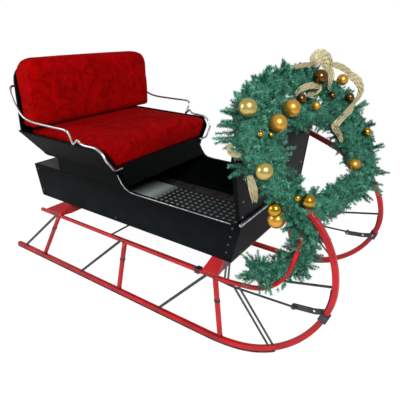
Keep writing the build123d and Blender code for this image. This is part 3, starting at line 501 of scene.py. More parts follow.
def black_coach_enamel():
    """Rubbed-down black enamel: near black, half gloss, with dust that greys its lower part."""
    material, tree, shader = surface_tree("black_coach_enamel", "#0A0D0F", Roughness=0.55,
                                          Specular_IOR_Level=0.06)
    where = add(tree, "TexCoord").outputs["Object"]
    height = add(tree, "SeparateXYZ", {"Vector": where})
    low = add(tree, "MapRange", {"Value": height.outputs[2], "From Min": 0.62, "From Max": 0.42})
    cloud = noise_at(tree, where, 0.09, 5.0)
    share = add(tree, "Math", {0: low.outputs[0], 1: cloud.outputs[0]}, operation="MULTIPLY")
    mix = add(tree, "Mix", {0: share.outputs[0], 6: linear("#020303"), 7: linear("#151E21")},
              data_type="RGBA")
    tree.links.new(mix.outputs[2], shader.inputs["Base Color"])
    level = noise_at(tree, where, 0.03, 2.0)
    bumped(tree, shader, level.outputs[0], 0.0006, 0.35)
    return material


def worn_deck_paint():
    """Thin grey-brown paint scuffed off along the grain, which runs across the sleigh."""
    material, tree, shader = surface_tree("worn_deck_paint", "#4B453F", Roughness=0.75)
    where = add(tree, "TexCoord").outputs["Object"]
    grain = add(tree, "Mapping", {"Vector": where, "Scale": (1.0, 0.12, 1.0)})
    noise = mottle(tree, shader, grain.outputs[0], 0.012, "#1D1B19", "#464139", detail=6.0)
    bumped(tree, shader, noise.outputs[0], 0.001, 0.4)
    return material


black_enamel = black_coach_enamel()
deck_paint = worn_deck_paint()
finish_nodes(black_enamel, "body_rear_panel", "body_front_panel", "riser_rear_board",
             *pairs("body_side", "floor_batten"))
finish_nodes(deck_paint, "rear_deck", "body_floor")


def bead_along(points, normals, width, height, around=7):
    """A half-round bead: half a flat ellipse stood on a line, square to it."""
    points, normals = np.asarray(points, float), np.asarray(normals, float)
    along = unit(np.gradient(points, axis=0))
    normals = unit(normals - (normals * along).sum(axis=1, keepdims=True) * along)
    across = np.cross(along, normals)
    turn = np.linspace(0, np.pi, around)
    side = np.concatenate([np.cos(turn), [-1.0, 1.0]]) * width / 2
    lift = np.concatenate([np.sin(turn) * height, [-0.0015, -0.0015]])
    return points[:, None] + side[:, None] * across[:, None] + lift[:, None] * normals[:, None]


def straight(start, end, count=12):
    return np.linspace(start, end, count)


SILL_Z, SEAT_BASE_Z = 0.612, 0.703
beads = []
for side in (1, -1):
    out = (0.0, float(side), 0.0)
    for start, end in (((-0.892, SILL_Z), (-0.094, SILL_Z - 0.001)),
                       ((-0.845, 0.416), (0.550, 0.416)),
                       ((-0.653, SEAT_BASE_Z - 0.004), (-0.172, SEAT_BASE_Z - 0.004))):
        line = straight((start[0], side * BODY_HALF, start[1]), (end[0], side * BODY_HALF, end[1]))
        beads.append(closed_tube(bead_along(line, np.tile(out, (len(line), 1)), 0.006, 0.0025)))
body_beads = make_mesh("body_beads", *joined(beads))
fitted(body_beads, black_enamel)

# Corner bolts: on each side behind the raked front panel, and on the panel itself.
bolt_spots, bolt_ways = [], []
for side in (1, -1):
    for x, z in ((0.553, 0.592), (0.545, 0.545), (0.536, 0.500), (0.528, 0.455), (-0.862, 0.585),
                 (-0.840, 0.450), (-0.200, 0.430)):
        bolt_spots.append((x, side * BODY_HALF, z))
        bolt_ways.append((0.0, side, 0.0))
body_bolts = make_mesh("body_bolts", *dome_heads(bolt_spots, bolt_ways, 0.0065, 0.0035))
fitted(body_bolts, black_iron)


# ---- Floor mat, sill trims and top bar -----------------------------------------
# A moulded rubber mat lies on the floor between two black battens. It is plain under
# the seat, and studded in front, where feet have worn the studs pale. The sills are
# capped in black enamel with a thin nickel bead, and the front panel in nickel.
MAT = {"rear": -0.480, "front": 0.528, "half": 0.196, "bottom": 0.4262, "top": 0.4322}
STUD_PITCH, STUD_RADIUS, STUD_HEIGHT, STUDS_FROM_X = 0.041, 0.0125, 0.0045, -0.205


def moulded_rubber():
    """Grey-green rubber: matt; the plain part under the seat painted pale as painted light against the
    seat's shadow, with a dusty mottle; dark between the pale worn studs.
    """
    material, tree, shader = surface_tree("moulded_rubber", "#4A5553", Roughness=0.8)
    where = add(tree, "TexCoord").outputs["Object"]
    place = add(tree, "SeparateXYZ", {"Vector": where})
    forward = add(tree, "MapRange", {"Value": place.outputs[0], "From Min": -0.26, "From Max": -0.17})
    proud = add(tree, "MapRange", {"Value": place.outputs[2], "From Min": MAT["top"] + 0.0012,
                                   "From Max": MAT["top"] + STUD_HEIGHT * 0.8})
    dust = noise_at(tree, where, 0.02, 6.0)
    # The plain part's pale colours are painted light, raised to cancel the shadow that the seat casts on
    # it; the noise between them is a dusty mottle.
    plain = add(tree, "Mix", {0: dust.outputs[0], 6: linear("#B3C2BD"), 7: linear("#D6E1DD")},
                data_type="RGBA")
    studded = add(tree, "Mix", {0: proud.outputs[0], 6: linear("#141A19"), 7: linear("#88918B")},
                  data_type="RGBA")
    whole = add(tree, "Mix", {0: forward.outputs[0], 6: plain.outputs[2], 7: studded.outputs[2]},
                data_type="RGBA")
    tree.links.new(whole.outputs[2], shader.inputs["Base Color"])
    bumped(tree, shader, dust.outputs[0], 0.0008, 0.5)
    return material


def slab_rings(x0, x1, half, bottom, top, radius, ends=8):
    """Sections of a flat sheet from x0 to x1, its long edges rounded."""
    across, up = rounded_section(2 * half, top - bottom, radius)
    x = np.linspace(x0, x1, ends)
    middle = (bottom + top) / 2
    return np.stack([np.broadcast_to(x[:, None], (ends, len(across))),
                     np.broadcast_to(across, (ends, len(across))),
                     np.broadcast_to(middle + up, (ends, len(across)))], axis=-1)


stud_x = np.arange(STUDS_FROM_X + STUD_PITCH / 2, MAT["front"] - STUD_RADIUS, STUD_PITCH)
stud_y = np.arange(-4, 5) * STUD_PITCH
stud_spots = np.array([(x, y, MAT["top"]) for x in stud_x for y in stud_y])
mat_parts = [closed_tube(slab_rings(MAT["rear"], MAT["front"], MAT["half"], MAT["bottom"], MAT["top"],
                                    0.0025))]
studs = dome_heads(stud_spots, np.tile((0.0, 0.0, 1.0), (len(stud_spots), 1)), STUD_RADIUS,
                   STUD_HEIGHT, around=12, rings=3)
mat_parts.append((studs[0], studs[1:]))
studded_mat = make_mesh("studded_mat", *joined(mat_parts))
fitted(studded_mat, moulded_rubber(), "floor_mat")


def dull_nickel():
    """Old nickel moulding: bright grey metal, hazed, with darker water marks."""
    material, tree, shader = surface_tree("dull_nickel", "#A9ADB2", Metallic=0.9, Roughness=0.36)
    where = add(tree, "TexCoord").outputs["Object"]
    mottle(tree, shader, where, 0.03, "#7F858C", "#C6CAD0", detail=5.0)
    return material


nickel_trim = dull_nickel()
SILL_LINE = [(-0.163, 0.7075), (-0.156, 0.6856), (-0.136, 0.655), (-0.112, 0.632), (-0.082, 0.6185),
             (-0.045, 0.6145), (0.0, 0.6145), (0.18, 0.6145), (0.36, 0.6145), (0.545, 0.6145)]
SILL_LINE_HALF = 0.3905
sill_beads = []
for side in (1, -1):
    line = np.array([(x, side * SILL_LINE_HALF, z) for x, z in SILL_LINE])
    ways = np.tile((0.0, side * 0.6, 0.8), (len(line), 1))
    sill_beads.append(closed_tube(bead_along(line, ways, 0.005, 0.0025)))
sill_lines = make_mesh("sill_lines", *joined(sill_beads))
fitted(sill_lines, nickel_trim)
finish_nodes(nickel_trim, "front_top_bar")
finish_nodes(black_enamel, "dash_edge_trim", *pairs("sill_trim"))


# ---- Seat: base, flared sides and boards ---------------------------------------
# Thin poplar boards screwed edge to edge, black enamelled. A bead is planted along
# the foot of each flared side, and another round its sloping front edge.
finish_nodes(black_enamel, "seat_base", "seat_back_board", "seat_front_board", *pairs("seat_side"))
SEAT_FLARE = np.radians(33.0)
SEAT_FOOT_HALF = 0.401
seat_beads = []
for side in (1, -1):
    way = (0.0, side * np.cos(SEAT_FLARE), -np.sin(SEAT_FLARE))
    for height, start_x, end_x in ((0.012, -0.746, -0.156), (0.146, -0.828, -0.215)):
        y = side * (SEAT_FOOT_HALF + height * np.tan(SEAT_FLARE))
        line = straight((start_x, y, SEAT_BASE_Z + height), (end_x, y, SEAT_BASE_Z + height))
        seat_beads.append(closed_tube(bead_along(line, np.tile(way, (len(line), 1)), 0.006, 0.003)))
seat_mouldings = make_mesh("seat_mouldings", *joined(seat_beads))
fitted(seat_mouldings, black_enamel)


# ---- Cushions: red mohair plush over horsehair ---------------------------------
# Each cushion is a firm horsehair pad in a tight plush cover, without buttons. The pile
# has been brushed and sat on, so it lies in swirls that catch the light or drink it, painted into its
# colour as a painted sheen.
def crushed_plush(name, tone):
    """Mohair pile about 3 mm deep: swirls of lighter and darker red, a painted sheen of the pile as it
    lies over.
    """
    low, middle, high = tone
    material, tree, shader = surface_tree(name, middle, Roughness=0.95, Sheen_Weight=0.06,
                                          Sheen_Roughness=0.5, Specular_IOR_Level=0.03)
    shader.inputs["Sheen Tint"].default_value = linear("#C01014")
    where = add(tree, "TexCoord").outputs["Object"]
    swirl = add(tree, "TexNoise", {"Vector": where, "Scale": 1 / 0.10, "Detail": 5.0,
                                   "Distortion": 1.6})
    brushed = add(tree, "TexNoise", {"Vector": where, "Scale": 1 / 0.022, "Detail": 6.0,
                                     "Distortion": 2.2})
    painted_sheen_swirls = add(tree, "Mix", {0: 0.5, 2: swirl.outputs[0], 3: brushed.outputs[0]})
    # Painted sheen: the swirls of the pile lit or in shade, as lighter and darker red.
    ramp = add(tree, "ValToRGB", {"Fac": painted_sheen_swirls.outputs[0]})
    ramp.color_ramp.elements[0].position = 0.36
    ramp.color_ramp.elements[1].position = 0.66
    ramp.color_ramp.elements[0].color = linear(low)
    ramp.color_ramp.elements[1].color = linear(high)
    tree.links.new(ramp.outputs[0], shader.inputs["Base Color"])
    pile = noise_at(tree, where, 0.004, 3.0)
    lay = add(tree, "Mix", {0: 0.6, 2: pile.outputs[0], 3: brushed.outputs[0]})
    bumped(tree, shader, lay.outputs[0], 0.0035, 0.8)
    return material


def shrunk_copy(node, name, inset):
    """A closed copy of a CAD solid, each face moved in, for the cloth to swell from."""
    source = cad_nodes[node]
    copy = source.data.copy()
    piece = bpy.data.objects.new(name, copy)
    bpy.context.collection.objects.link(piece)
    copy.materials.clear()
    weld = piece.modifiers.new("weld", "WELD")
    weld.merge_threshold = 0.0001
    remesh = piece.modifiers.new("remesh", "REMESH")
    remesh.mode = "VOXEL"
    remesh.voxel_size = 0.011
    push = piece.modifiers.new("push", "DISPLACE")
    push.mid_level = 0.0
    push.strength = -inset
    return piece


def applied(piece):
    """The piece with its modifiers made part of its mesh."""
    graph = bpy.context.evaluated_depsgraph_get()
    mesh = bpy.data.meshes.new_from_object(piece.evaluated_get(graph))
    piece.modifiers.clear()
    piece.data = mesh
    return piece


def vertex_array(mesh):
    flat = np.empty(len(mesh.vertices) * 3, dtype=np.float32)
    mesh.vertices.foreach_get("co", flat)
    return flat.reshape(-1, 3).astype(float)


def swollen(piece, cap, pressure=4.0, frames=20):
    """The cover blown up by cloth pressure, no point of it moving further than the cap."""
    start = vertex_array(piece.data)
    cloth = piece.modifiers.new("cover", "CLOTH")
    cloth.settings.use_pressure = True
    cloth.settings.uniform_pressure_force = pressure
    cloth.settings.effector_weights.gravity = 0.0
    cloth.settings.tension_stiffness = 40.0
    cloth.settings.compression_stiffness = 40.0
    cloth.settings.bending_stiffness = 4.0
    scene = bpy.context.scene
    for step in range(1, frames + 1):
        scene.frame_set(step)
    applied(piece)
    moved = vertex_array(piece.data) - start
    reach = np.linalg.norm(moved, axis=1, keepdims=True)
    held = start + moved * np.minimum(1.0, cap / np.maximum(reach, 1e-9))
    piece.data.vertices.foreach_set("co", held.astype(np.float32).ravel())
    scene.frame_set(1)
    return piece


def crowned(points, low, high, axis, rise):
    """Points pushed along an axis by a low dome over the cushion: (1 - u^4)(1 - v^4)."""
    others = [k for k in range(3) if k != axis]
    share = 1.0
    for k in others:
        middle, half = (low[k] + high[k]) / 2, (high[k] - low[k]) / 2
        share = share * (1 - np.clip(np.abs(points[:, k] - middle) / half, 0, 1) ** 4)
    depth = np.clip((points[:, axis] - low[axis]) / (high[axis] - low[axis]), 0, 1)
    points[:, axis] += rise * share * depth
    return points


COVER_SLACK = 0.007      # how far the cloth is shrunk, and may swell again


def plush_cushion(node, name, material, crown, settled):
    """A CAD cushion's cover: shrunk, blown up as cloth, crowned along axes and settled by use."""
    low, high = (np.array(corner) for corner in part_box(node))
    piece = applied(shrunk_copy(node, name, COVER_SLACK))
    piece = swollen(piece, COVER_SLACK)
    points = vertex_array(piece.data)
    for axis, rise in crown:
        points = crowned(points, low, high, axis, rise)
    points += settled
    piece.data.vertices.foreach_set("co", points.astype(np.float32).ravel())
    smooth = piece.modifiers.new("level", "SMOOTH")
    smooth.factor = 0.5
    smooth.iterations = 4
    finer = piece.modifiers.new("finer", "SUBSURF")
    finer.levels = finer.render_levels = 1
    piece = applied(piece)
    piece.data.polygons.foreach_set("use_smooth", np.full(len(piece.data.polygons), True))
    fitted(piece, material, node)


plush_cushion("back_cushion", "back_cushion_plush",
              crushed_plush("crushed_plush_back", ("#740001", "#920102", "#AC0304")),
              crown=[(0, 0.020), (2, 0.010)], settled=(0.006, 0.012, 0.004))
# The seat's plush is the back's cloth set darker: painted shade against the lamp that lights its top.
plush_cushion("seat_cushion", "seat_cushion_plush",
              crushed_plush("crushed_plush_seat_painted_darker", ("#6A0001", "#840102", "#A00305")),
              crown=[(2, 0.022), (0, 0.014)], settled=(0.004, 0.006, 0.0))


# ---- Arm rails: bent nickel-plated rod -----------------------------------------
# One steel rod a side, bent cold over forms and plated. It sweeps down from the back
# board, runs level as an arm rest, dips in a crook and falls round the seat's front.
RAIL_RADIUS = 0.0065
RAIL_POINTS = [
    (-0.8402, 0.470, 1.108), (-0.838, 0.500, 1.106), (-0.822, 0.518, 1.078), (-0.790, 0.525, 1.026),
    (-0.750, 0.529, 0.982), (-0.705, 0.533, 0.955), (-0.640, 0.537, 0.944), (-0.560, 0.539, 0.942),
    (-0.460, 0.540, 0.942), (-0.372, 0.541, 0.942), (-0.343, 0.535, 0.925), (-0.350, 0.516, 0.882),
    (-0.352, 0.506, 0.862), (-0.336, 0.506, 0.874), (-0.318, 0.505, 0.887), (-0.300, 0.502, 0.873),
    (-0.270, 0.501, 0.866), (-0.232, 0.499, 0.866), (-0.192, 0.497, 0.862), (-0.155, 0.493, 0.840),
    (-0.134, 0.488, 0.806), (-0.130, 0.466, 0.776), (-0.130, 0.442, 0.746), (-0.131, 0.424, 0.737),
    (-0.132, 0.400, 0.737), (-0.134, 0.380, 0.737), (-0.142, 0.374, 0.736), (-0.158, 0.374, 0.735),
]


def smooth_line(points, per_span=6):
    """A curve through the points: on each span a cubic whose end slopes are the neighbours' chords."""
    points = np.asarray(points, float)
    padded = np.concatenate([[2 * points[0] - points[1]], points, [2 * points[-1] - points[-2]]])
    t = np.linspace(0, 1, per_span, endpoint=False)[:, None]
    a, b, c, d = padded[:-3], padded[1:-2], padded[2:-1], padded[3:]
    spans = [0.5 * (2 * q + (r - p) * t + (2 * p - 5 * q + 4 * r - s) * t ** 2
                    + (3 * q - p - 3 * r + s) * t ** 3) for p, q, r, s in zip(a, b, c, d)]
    return np.concatenate([*spans, points[-1:]])


def round_rod(points, radius, around=14):
    """Circles square to a line, each turned as little as possible from the one before."""
    along = unit(np.gradient(points, axis=0))
    normal = np.empty_like(points)
    normal[0] = np.cross(along[0], (0.3, 0.2, 0.9))
    for k in range(1, len(points)):
        normal[k] = normal[k - 1] - (normal[k - 1] @ along[k]) * along[k]
    normal = unit(normal)
    side = np.cross(along, normal)
    turn = np.linspace(0, 2 * np.pi, around, endpoint=False)
    ring = np.cos(turn)[:, None] * normal[:, None] + np.sin(turn)[:, None] * side[:, None]
    return points[:, None] + radius * ring


def polished_nickel():
    """Nickel plate: a painted reflection in its colour, bright and slightly warm face on, and painted dark
    where it turns away to the room.
    """
    material, tree, shader = surface_tree("polished_nickel", "#F4F3F1", Metallic=1.0, Roughness=0.22)
    # Painted reflection: the colour runs from light face on to dark at a glancing view.
    painted_reflection_facing = add(tree, "LayerWeight", {"Blend": 0.35})
    ramp = add(tree, "ValToRGB", {"Fac": painted_reflection_facing.outputs["Facing"]})
    ramp.color_ramp.elements[0].color = linear("#DCDAD6")
    ramp.color_ramp.elements[1].color = linear("#2E2B29")
    ramp.color_ramp.elements[1].position = 0.75
    tree.links.new(ramp.outputs[0], shader.inputs["Base Color"])
    return material


nickel = polished_nickel()
for side, suffix in ((1, "left"), (-1, "right")):
    line = smooth_line(RAIL_POINTS) * (1, side, 1)
    vertices, faces = closed_tube(round_rod(line, RAIL_RADIUS))
    rail = make_mesh(f"nickel_rail_{suffix}", vertices, *faces)
    fitted(rail, nickel, f"arm_rail_{suffix}")


# ---- Dash: patent leather stretched over a board -------------------------------
# Japanned leather, nearly black with a purple cast, is drawn over the flared board,
# held by the black edge trim and by two bolts low on each side.
def patent_leather():
    """Japanned leather: a glossy skin over pores about 3 mm apart, dull where it has cracked."""
    material, tree, shader = surface_tree("patent_leather", "#0E0D10", Roughness=0.45,
                                          Specular_IOR_Level=0.07, Coat_Weight=0.03,
                                          Coat_Roughness=0.3)
    where = add(tree, "TexCoord").outputs["Object"]
    mottle(tree, shader, where, 0.15, "#040405", "#0B0A0D", detail=5.0)
    pores = add(tree, "TexVoronoi", {"Vector": where, "Scale": 1 / 0.003})
    bumped(tree, shader, pores.outputs["Distance"], 0.0005, 0.5)
    return material


finish_nodes(patent_leather(), "dash_board")
DASH_FACES = (0.568, 0.584)      # where its rear and its front face lie along X
bolt_places = [(side * y, z) for side in (1, -1) for y, z in ((0.352, 0.645), (0.356, 0.725))]
dash_spots = [(x, y, z) for x in DASH_FACES for y, z in bolt_places]
dash_ways = [(-1.0, 0.0, 0.0)] * len(bolt_places) + [(1.0, 0.0, 0.0)] * len(bolt_places)
dash_bolts = make_mesh("dash_bolts", *dome_heads(dash_spots, dash_ways, 0.007, 0.004))
fitted(dash_bolts, zinc)


# ---- Wreath: tinsel fir on a bent oval hoop ------------------------------------
# Fir garland is wound round a flattened hoop that leans back over the dash, with a
# tail hung over the right-hand rave. Each tip is a wire twisted round strips of green
# film, cut into needles about 15 mm long that stand out all round it.
HOOP = {"centre": (0.745, 0.0, 0.972), "lean": 38.0, "turn": -8.0, "width": 0.930, "height": 0.600}
chance = np.random.default_rng(12)


def hoop_frame():
    """The hoop's middle, and its directions across, up, and square to it towards the front."""
    lean, turn = np.radians(HOOP["lean"]), np.radians(HOOP["turn"])
    front = np.array([np.cos(lean) * np.cos(turn), np.cos(lean) * np.sin(turn), np.sin(lean)])
    across = np.array([-np.sin(turn), np.cos(turn), 0.0])
    return np.array(HOOP["centre"]), across, np.cross(front, across), front


def on_hoop(share, round_limb=0.0, reach=0.0):
    """A place by its share of the way round the hoop and its angle and distance from the limb's line.

    The line is two half circles joined by straights, from the left end over the top.
    Also gives the direction away from the line.
    """
    share, round_limb = np.broadcast_arrays(np.asarray(share, float), np.radians(round_limb))
    radius = HOOP["height"] / 2
    half = HOOP["width"] / 2 - radius
    quarter = np.pi / 2 * radius
    along = np.mod(share, 1.0) * (4 * half + 4 * quarter)
    stations = np.cumsum([0, quarter, 2 * half, 2 * quarter, 2 * half, quarter])
    angle = np.interp(along, stations, np.radians([0, 90, 90, 270, 270, 360]))
    shift = np.interp(along, stations, [half, half, -half, -half, half, half])
    middle, across, up, front = hoop_frame()
    out = np.cos(angle)[..., None] * across + np.sin(angle)[..., None] * up
    away = np.cos(round_limb)[..., None] * front + np.sin(round_limb)[..., None] * out
    place = middle + shift[..., None] * across + radius * out
    return place + np.asarray(reach)[..., None] * away, away


# Baubles: place to the nearest mm, radius, finish. The frame's own balls give the exact place.
BAUBLE_ROWS = [
    (0.785, -0.447, 0.731, 0.037, "satin"), (0.622, -0.447, 1.164, 0.037, "pearl"),
    (0.676, 0.212, 1.223, 0.037, "bronze"), (0.729, 0.427, 1.193, 0.030, "satin"),
    (0.715, 0.325, 1.122, 0.020, "bronze"), (0.787, 0.398, 1.112, 0.024, "bronze"),
    (0.908, 0.384, 0.947, 0.024, "bright"), (0.914, 0.194, 0.817, 0.033, "satin"),
    (0.752, -0.533, 0.957, 0.034, "pearl"), (0.795, -0.499, 0.799, 0.029, "bright"),
    (0.898, -0.419, 0.833, 0.028, "bright"), (0.696, -0.474, 1.078, 0.012, "bright"),
    (0.865, -0.458, 0.851, 0.013, "bright"), (0.698, -0.183, 1.132, 0.038, "satin"),
    (0.703, -0.333, 1.094, 0.038, "satin"), (0.673, -0.012, 1.146, 0.024, "bronze"),
    (0.734, 0.027, 1.115, 0.020, "satin"), (0.700, -0.388, 1.058, 0.012, "bright")]
BALL_SHELL = 0.004      # a ball's own surface lies within this of its radius, and no other's does
ball_surfaces = vertex_array(cad_nodes["baubles"].data)


def ball_middle(place, radius):
    """The exact middle of the frame's ball that is near a place."""
    near = ball_surfaces[np.linalg.norm(ball_surfaces - place, axis=1) < radius + BALL_SHELL]
    return (near.min(axis=0) + near.max(axis=0)) / 2


baubles = [(ball_middle(place, radius), radius, finish) for *place, radius, finish in BAUBLE_ROWS]

# Second strand inside the hoop's top: (share of the way round the hoop, how far inside it).
STRAND_PLACES = [(0.870, 0.065), (0.934, 0.111), (0.019, 0.173), (0.179, 0.208), (0.250, 0.182),
                 (0.309, 0.158), (0.399, 0.125), (0.482, 0.103), (0.543, 0.048)]
TAIL_POINTS = [(0.835, -0.400, 0.788), (0.862, -0.385, 0.740), (0.884, -0.370, 0.690),
               (0.897, -0.362, 0.625), (0.890, -0.366, 0.560), (0.856, -0.384, 0.505),
               (0.800, -0.418, 0.470), (0.745, -0.440, 0.458), (0.690, -0.455, 0.464)]


def fir_film():
    """PVC film: blue green with a satin sheen; its colour follows the tone, with painted shade at the wire
    and painted highlights on pale needles and points.
    """
    material, tree, shader = surface_tree("fir_film", "#2B7560", Roughness=0.42,
                                          Specular_IOR_Level=0.6)
    tone = add(tree, "Attribute", attribute_name="tone")
    ramp = add(tree, "ValToRGB", {"Fac": tone.outputs["Fac"]})
    ramp.color_ramp.elements[0].color = linear("#07291F")
    ramp.color_ramp.elements[1].color = linear("#E2F6EC")
    for place, colour in ((0.25, "#17634B"), (0.55, "#37906F"), (0.82, "#82C6AA")):
        stop = ramp.color_ramp.elements.new(place)
        stop.color = linear(colour)
    tree.links.new(ramp.outputs[0], shader.inputs["Base Color"])
    return material


NEEDLE_LENGTH, NEEDLE_WIDTH = 0.0145, 0.0029
GOLDEN_ANGLE = np.radians(137.5)
FOOT_LEAN, END_LEAN = 78, 42      # degrees between needle and wire at a tip's foot and end


def needle_sprays(roots, ways, lengths, per_tip):
    """Needles round straight tips, as long thin three-sided spikes.

    Each leans from the wire by an angle that falls from the tip's foot to its end, and
    is set off round the wire by the golden angle, so that the tip is a bottle brush
    with a round end.
    """
    count = len(roots)
    share = (np.arange(per_tip) + 0.5) / per_tip
    share = np.clip(share + chance.normal(0, 0.02, (count, per_tip)), 0.03, 1.0)
    spin = GOLDEN_ANGLE * np.arange(per_tip) + chance.uniform(0, 2 * np.pi, (count, 1))
    spin = spin + chance.normal(0, 0.25, (count, per_tip))
    lean = np.radians(FOOT_LEAN - (FOOT_LEAN - END_LEAN) * share**3)
    lean = lean + chance.normal(0, 0.16, (count, per_tip))
    helper = np.where(np.abs(ways[:, 2:]) < 0.8, [[0.0, 0.0, 1.0]], [[1.0, 0.0, 0.0]])
    first = unit(np.cross(ways, helper))
    second = np.cross(ways, first)
    radial = np.cos(spin)[..., None] * first[:, None] + np.sin(spin)[..., None] * second[:, None]
    base = roots[:, None] + share[..., None] * lengths[:, None, None] * ways[:, None]
    heading = np.cos(lean)[..., None] * ways[:, None] + np.sin(lean)[..., None] * radial
    long = NEEDLE_LENGTH * chance.uniform(0.8, 1.1, (count, per_tip))
    side = unit(np.cross(heading, radial + chance.normal(0, 0.5, radial.shape)))
    lift = np.cross(side, heading)
    half = side * NEEDLE_WIDTH / 2
    corners = np.stack([base - half, base + half, base + lift * NEEDLE_WIDTH * 0.35,
                        base + heading * long[..., None]], axis=2)
    # Tone is random per tip and per needle; needles are made lighter towards a tip's end as painted light,
    # and 8 in 100 are lifted pale as painted glints.
    tone = chance.normal(0.36, 0.15, (count, 1)) + chance.normal(0, 0.12, (count, per_tip))
    tone = tone + 0.30 * (share - 0.5) + 0.45 * (chance.uniform(0, 1, (count, per_tip)) < 0.08)
    return corners.reshape(-1, 4, 3), np.clip(tone, 0, 1).ravel()


def tips_round(line, count, foot, length, end_pull=0.0):
    """Foot, direction and length of tips spread along a line and all round it.

    Each stands square to the line at the foot's distance from it and leans a little
    along it, more so towards an end that is pulled.
    """
    spot = (np.arange(count) + chance.uniform(0, 1, count)) / count * (len(line) - 1)
    place = np.stack([np.interp(spot, np.arange(len(line)), line[:, k]) for k in range(3)], axis=-1)
    along = unit(np.gradient(line, axis=0))
    along = along[np.round(spot).astype(int)]
    ways = chance.normal(0, 1, (count, 3))
    ways -= (ways * along).sum(axis=1, keepdims=True) * along
    ways = unit(ways)
    roots = place + ways * chance.uniform(*foot, (count, 1))
    pull = end_pull * np.clip((spot / (len(line) - 1) - 0.9) / 0.1, 0, 1)[:, None]
    leaning = (pull + chance.normal(0, 0.45, (count, 1))) * along
    ways = unit(ways + leaning + chance.normal(0, 0.2, ways.shape))
    return roots, ways, chance.uniform(*length, count)


# What the needles keep out of: the dash board, the body and the bars, with a little room.
DASH_ROOM = {"rear": 0.560, "front": 0.592, "top": 0.992, "half_at_sill": 0.372, "flare": 0.27}
BODY_ROOM = {"front": 0.600, "top": 0.620, "half": 0.392}
BAR_ROOM = 0.021
BARS_FROM_Z = 0.3       # no needle hangs lower than this
BALL_ROOM = {"middle": 0.003, "tip": 0.001}
# Where the right-hand rave lies on the tail, the needles over it are left out along the
# photograph's line of sight, for a height and to each side of the bar.
BARE_RAVE = {"from_x": 0.805, "from_z": 0.405, "to_z": 0.585, "way": (0.272, -0.802, 0.532),
             "height": 0.14, "aside": 0.0125}


def nearest_distance(points, line, blocks=12):
    """How far each point is from the nearest point of a line, block by block to save memory."""
    gap = np.full(len(points), 1.0)
    for block in np.array_split(line, blocks):
        gap = np.minimum(gap, np.linalg.norm(points[:, None] - block[None], axis=2).min(axis=1))
    return gap


def bar_middle(bar, side, step):
    """The line through the middle of a runner or a rave, as placed."""
    x, z, _ = curl_line(bar, step=step)
    return on_side_frame(np.stack([x, np.zeros_like(x), z], axis=-1), side)


def pressed_line():
    """The part of the right-hand rave's line that lies bare on the tail."""
    x, z, _ = curl_line(RAVE, step=0.004)
    bare = (x > BARE_RAVE["from_x"]) & (z > BARE_RAVE["from_z"]) & (z < BARE_RAVE["to_z"])
    return bar_middle(RAVE, -1, step=0.004)[bare]


def clear_of_bars(corners, tone):
    """Only the needles that keep clear of the bars, the dash board, the body and the baubles."""
    kept = np.ones(len(corners), bool)
    middle, tip = corners.mean(axis=1), corners[:, 3]
    for bar in (RUNNER, RAVE):
        for side in (1, -1):
            line = bar_middle(bar, side, step=0.012)
            near = line[line[:, 2] > BARS_FROM_Z]
            for spot in (middle, tip):
                kept &= nearest_distance(spot, near) > BAR_ROOM
    away, pressed = np.array(BARE_RAVE["way"]), pressed_line()
    for spot in (middle, tip):
        x, half, z = spot[:, 0], np.abs(spot[:, 1]), spot[:, 2]
        flared = DASH_ROOM["half_at_sill"] + DASH_ROOM["flare"] * np.clip(z - SILL_Z, 0, 1)
        in_dash = (x > DASH_ROOM["rear"]) & (x < DASH_ROOM["front"]) & (z < DASH_ROOM["top"])
        in_body = (x < BODY_ROOM["front"]) & (z < BODY_ROOM["top"]) & (half < BODY_ROOM["half"])
        kept &= ~((in_dash & (half < flared)) | in_body)
        for place in pressed:
            height = (spot - place) @ away
            aside = np.linalg.norm(spot - place - height[:, None] * away, axis=1)
            kept &= (height < 0.0) | (height > BARE_RAVE["height"]) | (aside > BARE_RAVE["aside"])
    for ball, radius, _ in baubles:
        kept &= np.linalg.norm(middle - ball, axis=1) > radius + BALL_ROOM["middle"]
        kept &= np.linalg.norm(tip - ball, axis=1) > radius + BALL_ROOM["tip"]
    return corners[kept], tone[kept]


def needle_piece(name, corners, tone, stands_for):
    """One mesh of all the needles that are kept, with a tone at each corner: painted shade darkens the
    corners at the wire, a painted highlight lightens the point.
    """
    corners, tone = clear_of_bars(corners, tone)
    start = np.arange(len(corners))[:, None] * 4
    spike = np.array([(0, 2, 1), (0, 1, 3), (1, 2, 3), (2, 0, 3)])
    faces = (start[:, :, None] + spike[None]).reshape(-1, 3)
    points = corners.reshape(-1, 3)
    piece = make_mesh(name, points, *outward(points, faces), smooth=False)
    shade = np.repeat(tone[:, None], 4, axis=1)
    # Painted shade at each needle's foot by the wire, and a painted highlight at its point.
    shade[:, :3] *= 0.55
    shade[:, 3] = np.clip(shade[:, 3] * 1.25, 0, 1)
    layer = piece.data.attributes.new("tone", "FLOAT", "POINT")
    layer.data.foreach_set("value", shade.ravel().astype(np.float32))
    fitted(piece, fir, stands_for)


def ragged_core(line, radius, seed, around=20):
    """The wound wires and inner needles: a rod whose radius follows a sum of three waves."""
    rings = round_rod(line, 1.0, around)
    middle = line[:, None]
    phase = np.random.default_rng(seed).uniform(0, 2 * np.pi, 3)
    along = np.arange(len(line))[:, None]
    turn = np.linspace(0, 2 * np.pi, around, endpoint=False)[None]
    wave = (0.09 * np.sin(0.9 * along + 3 * turn + phase[0])
            + 0.07 * np.sin(1.7 * along - 5 * turn + phase[1])
            + 0.05 * np.sin(2.6 * along + 7 * turn + phase[2]))
    return middle + (rings - middle) * (radius * (1 + wave))[..., None]


fir = fir_film()
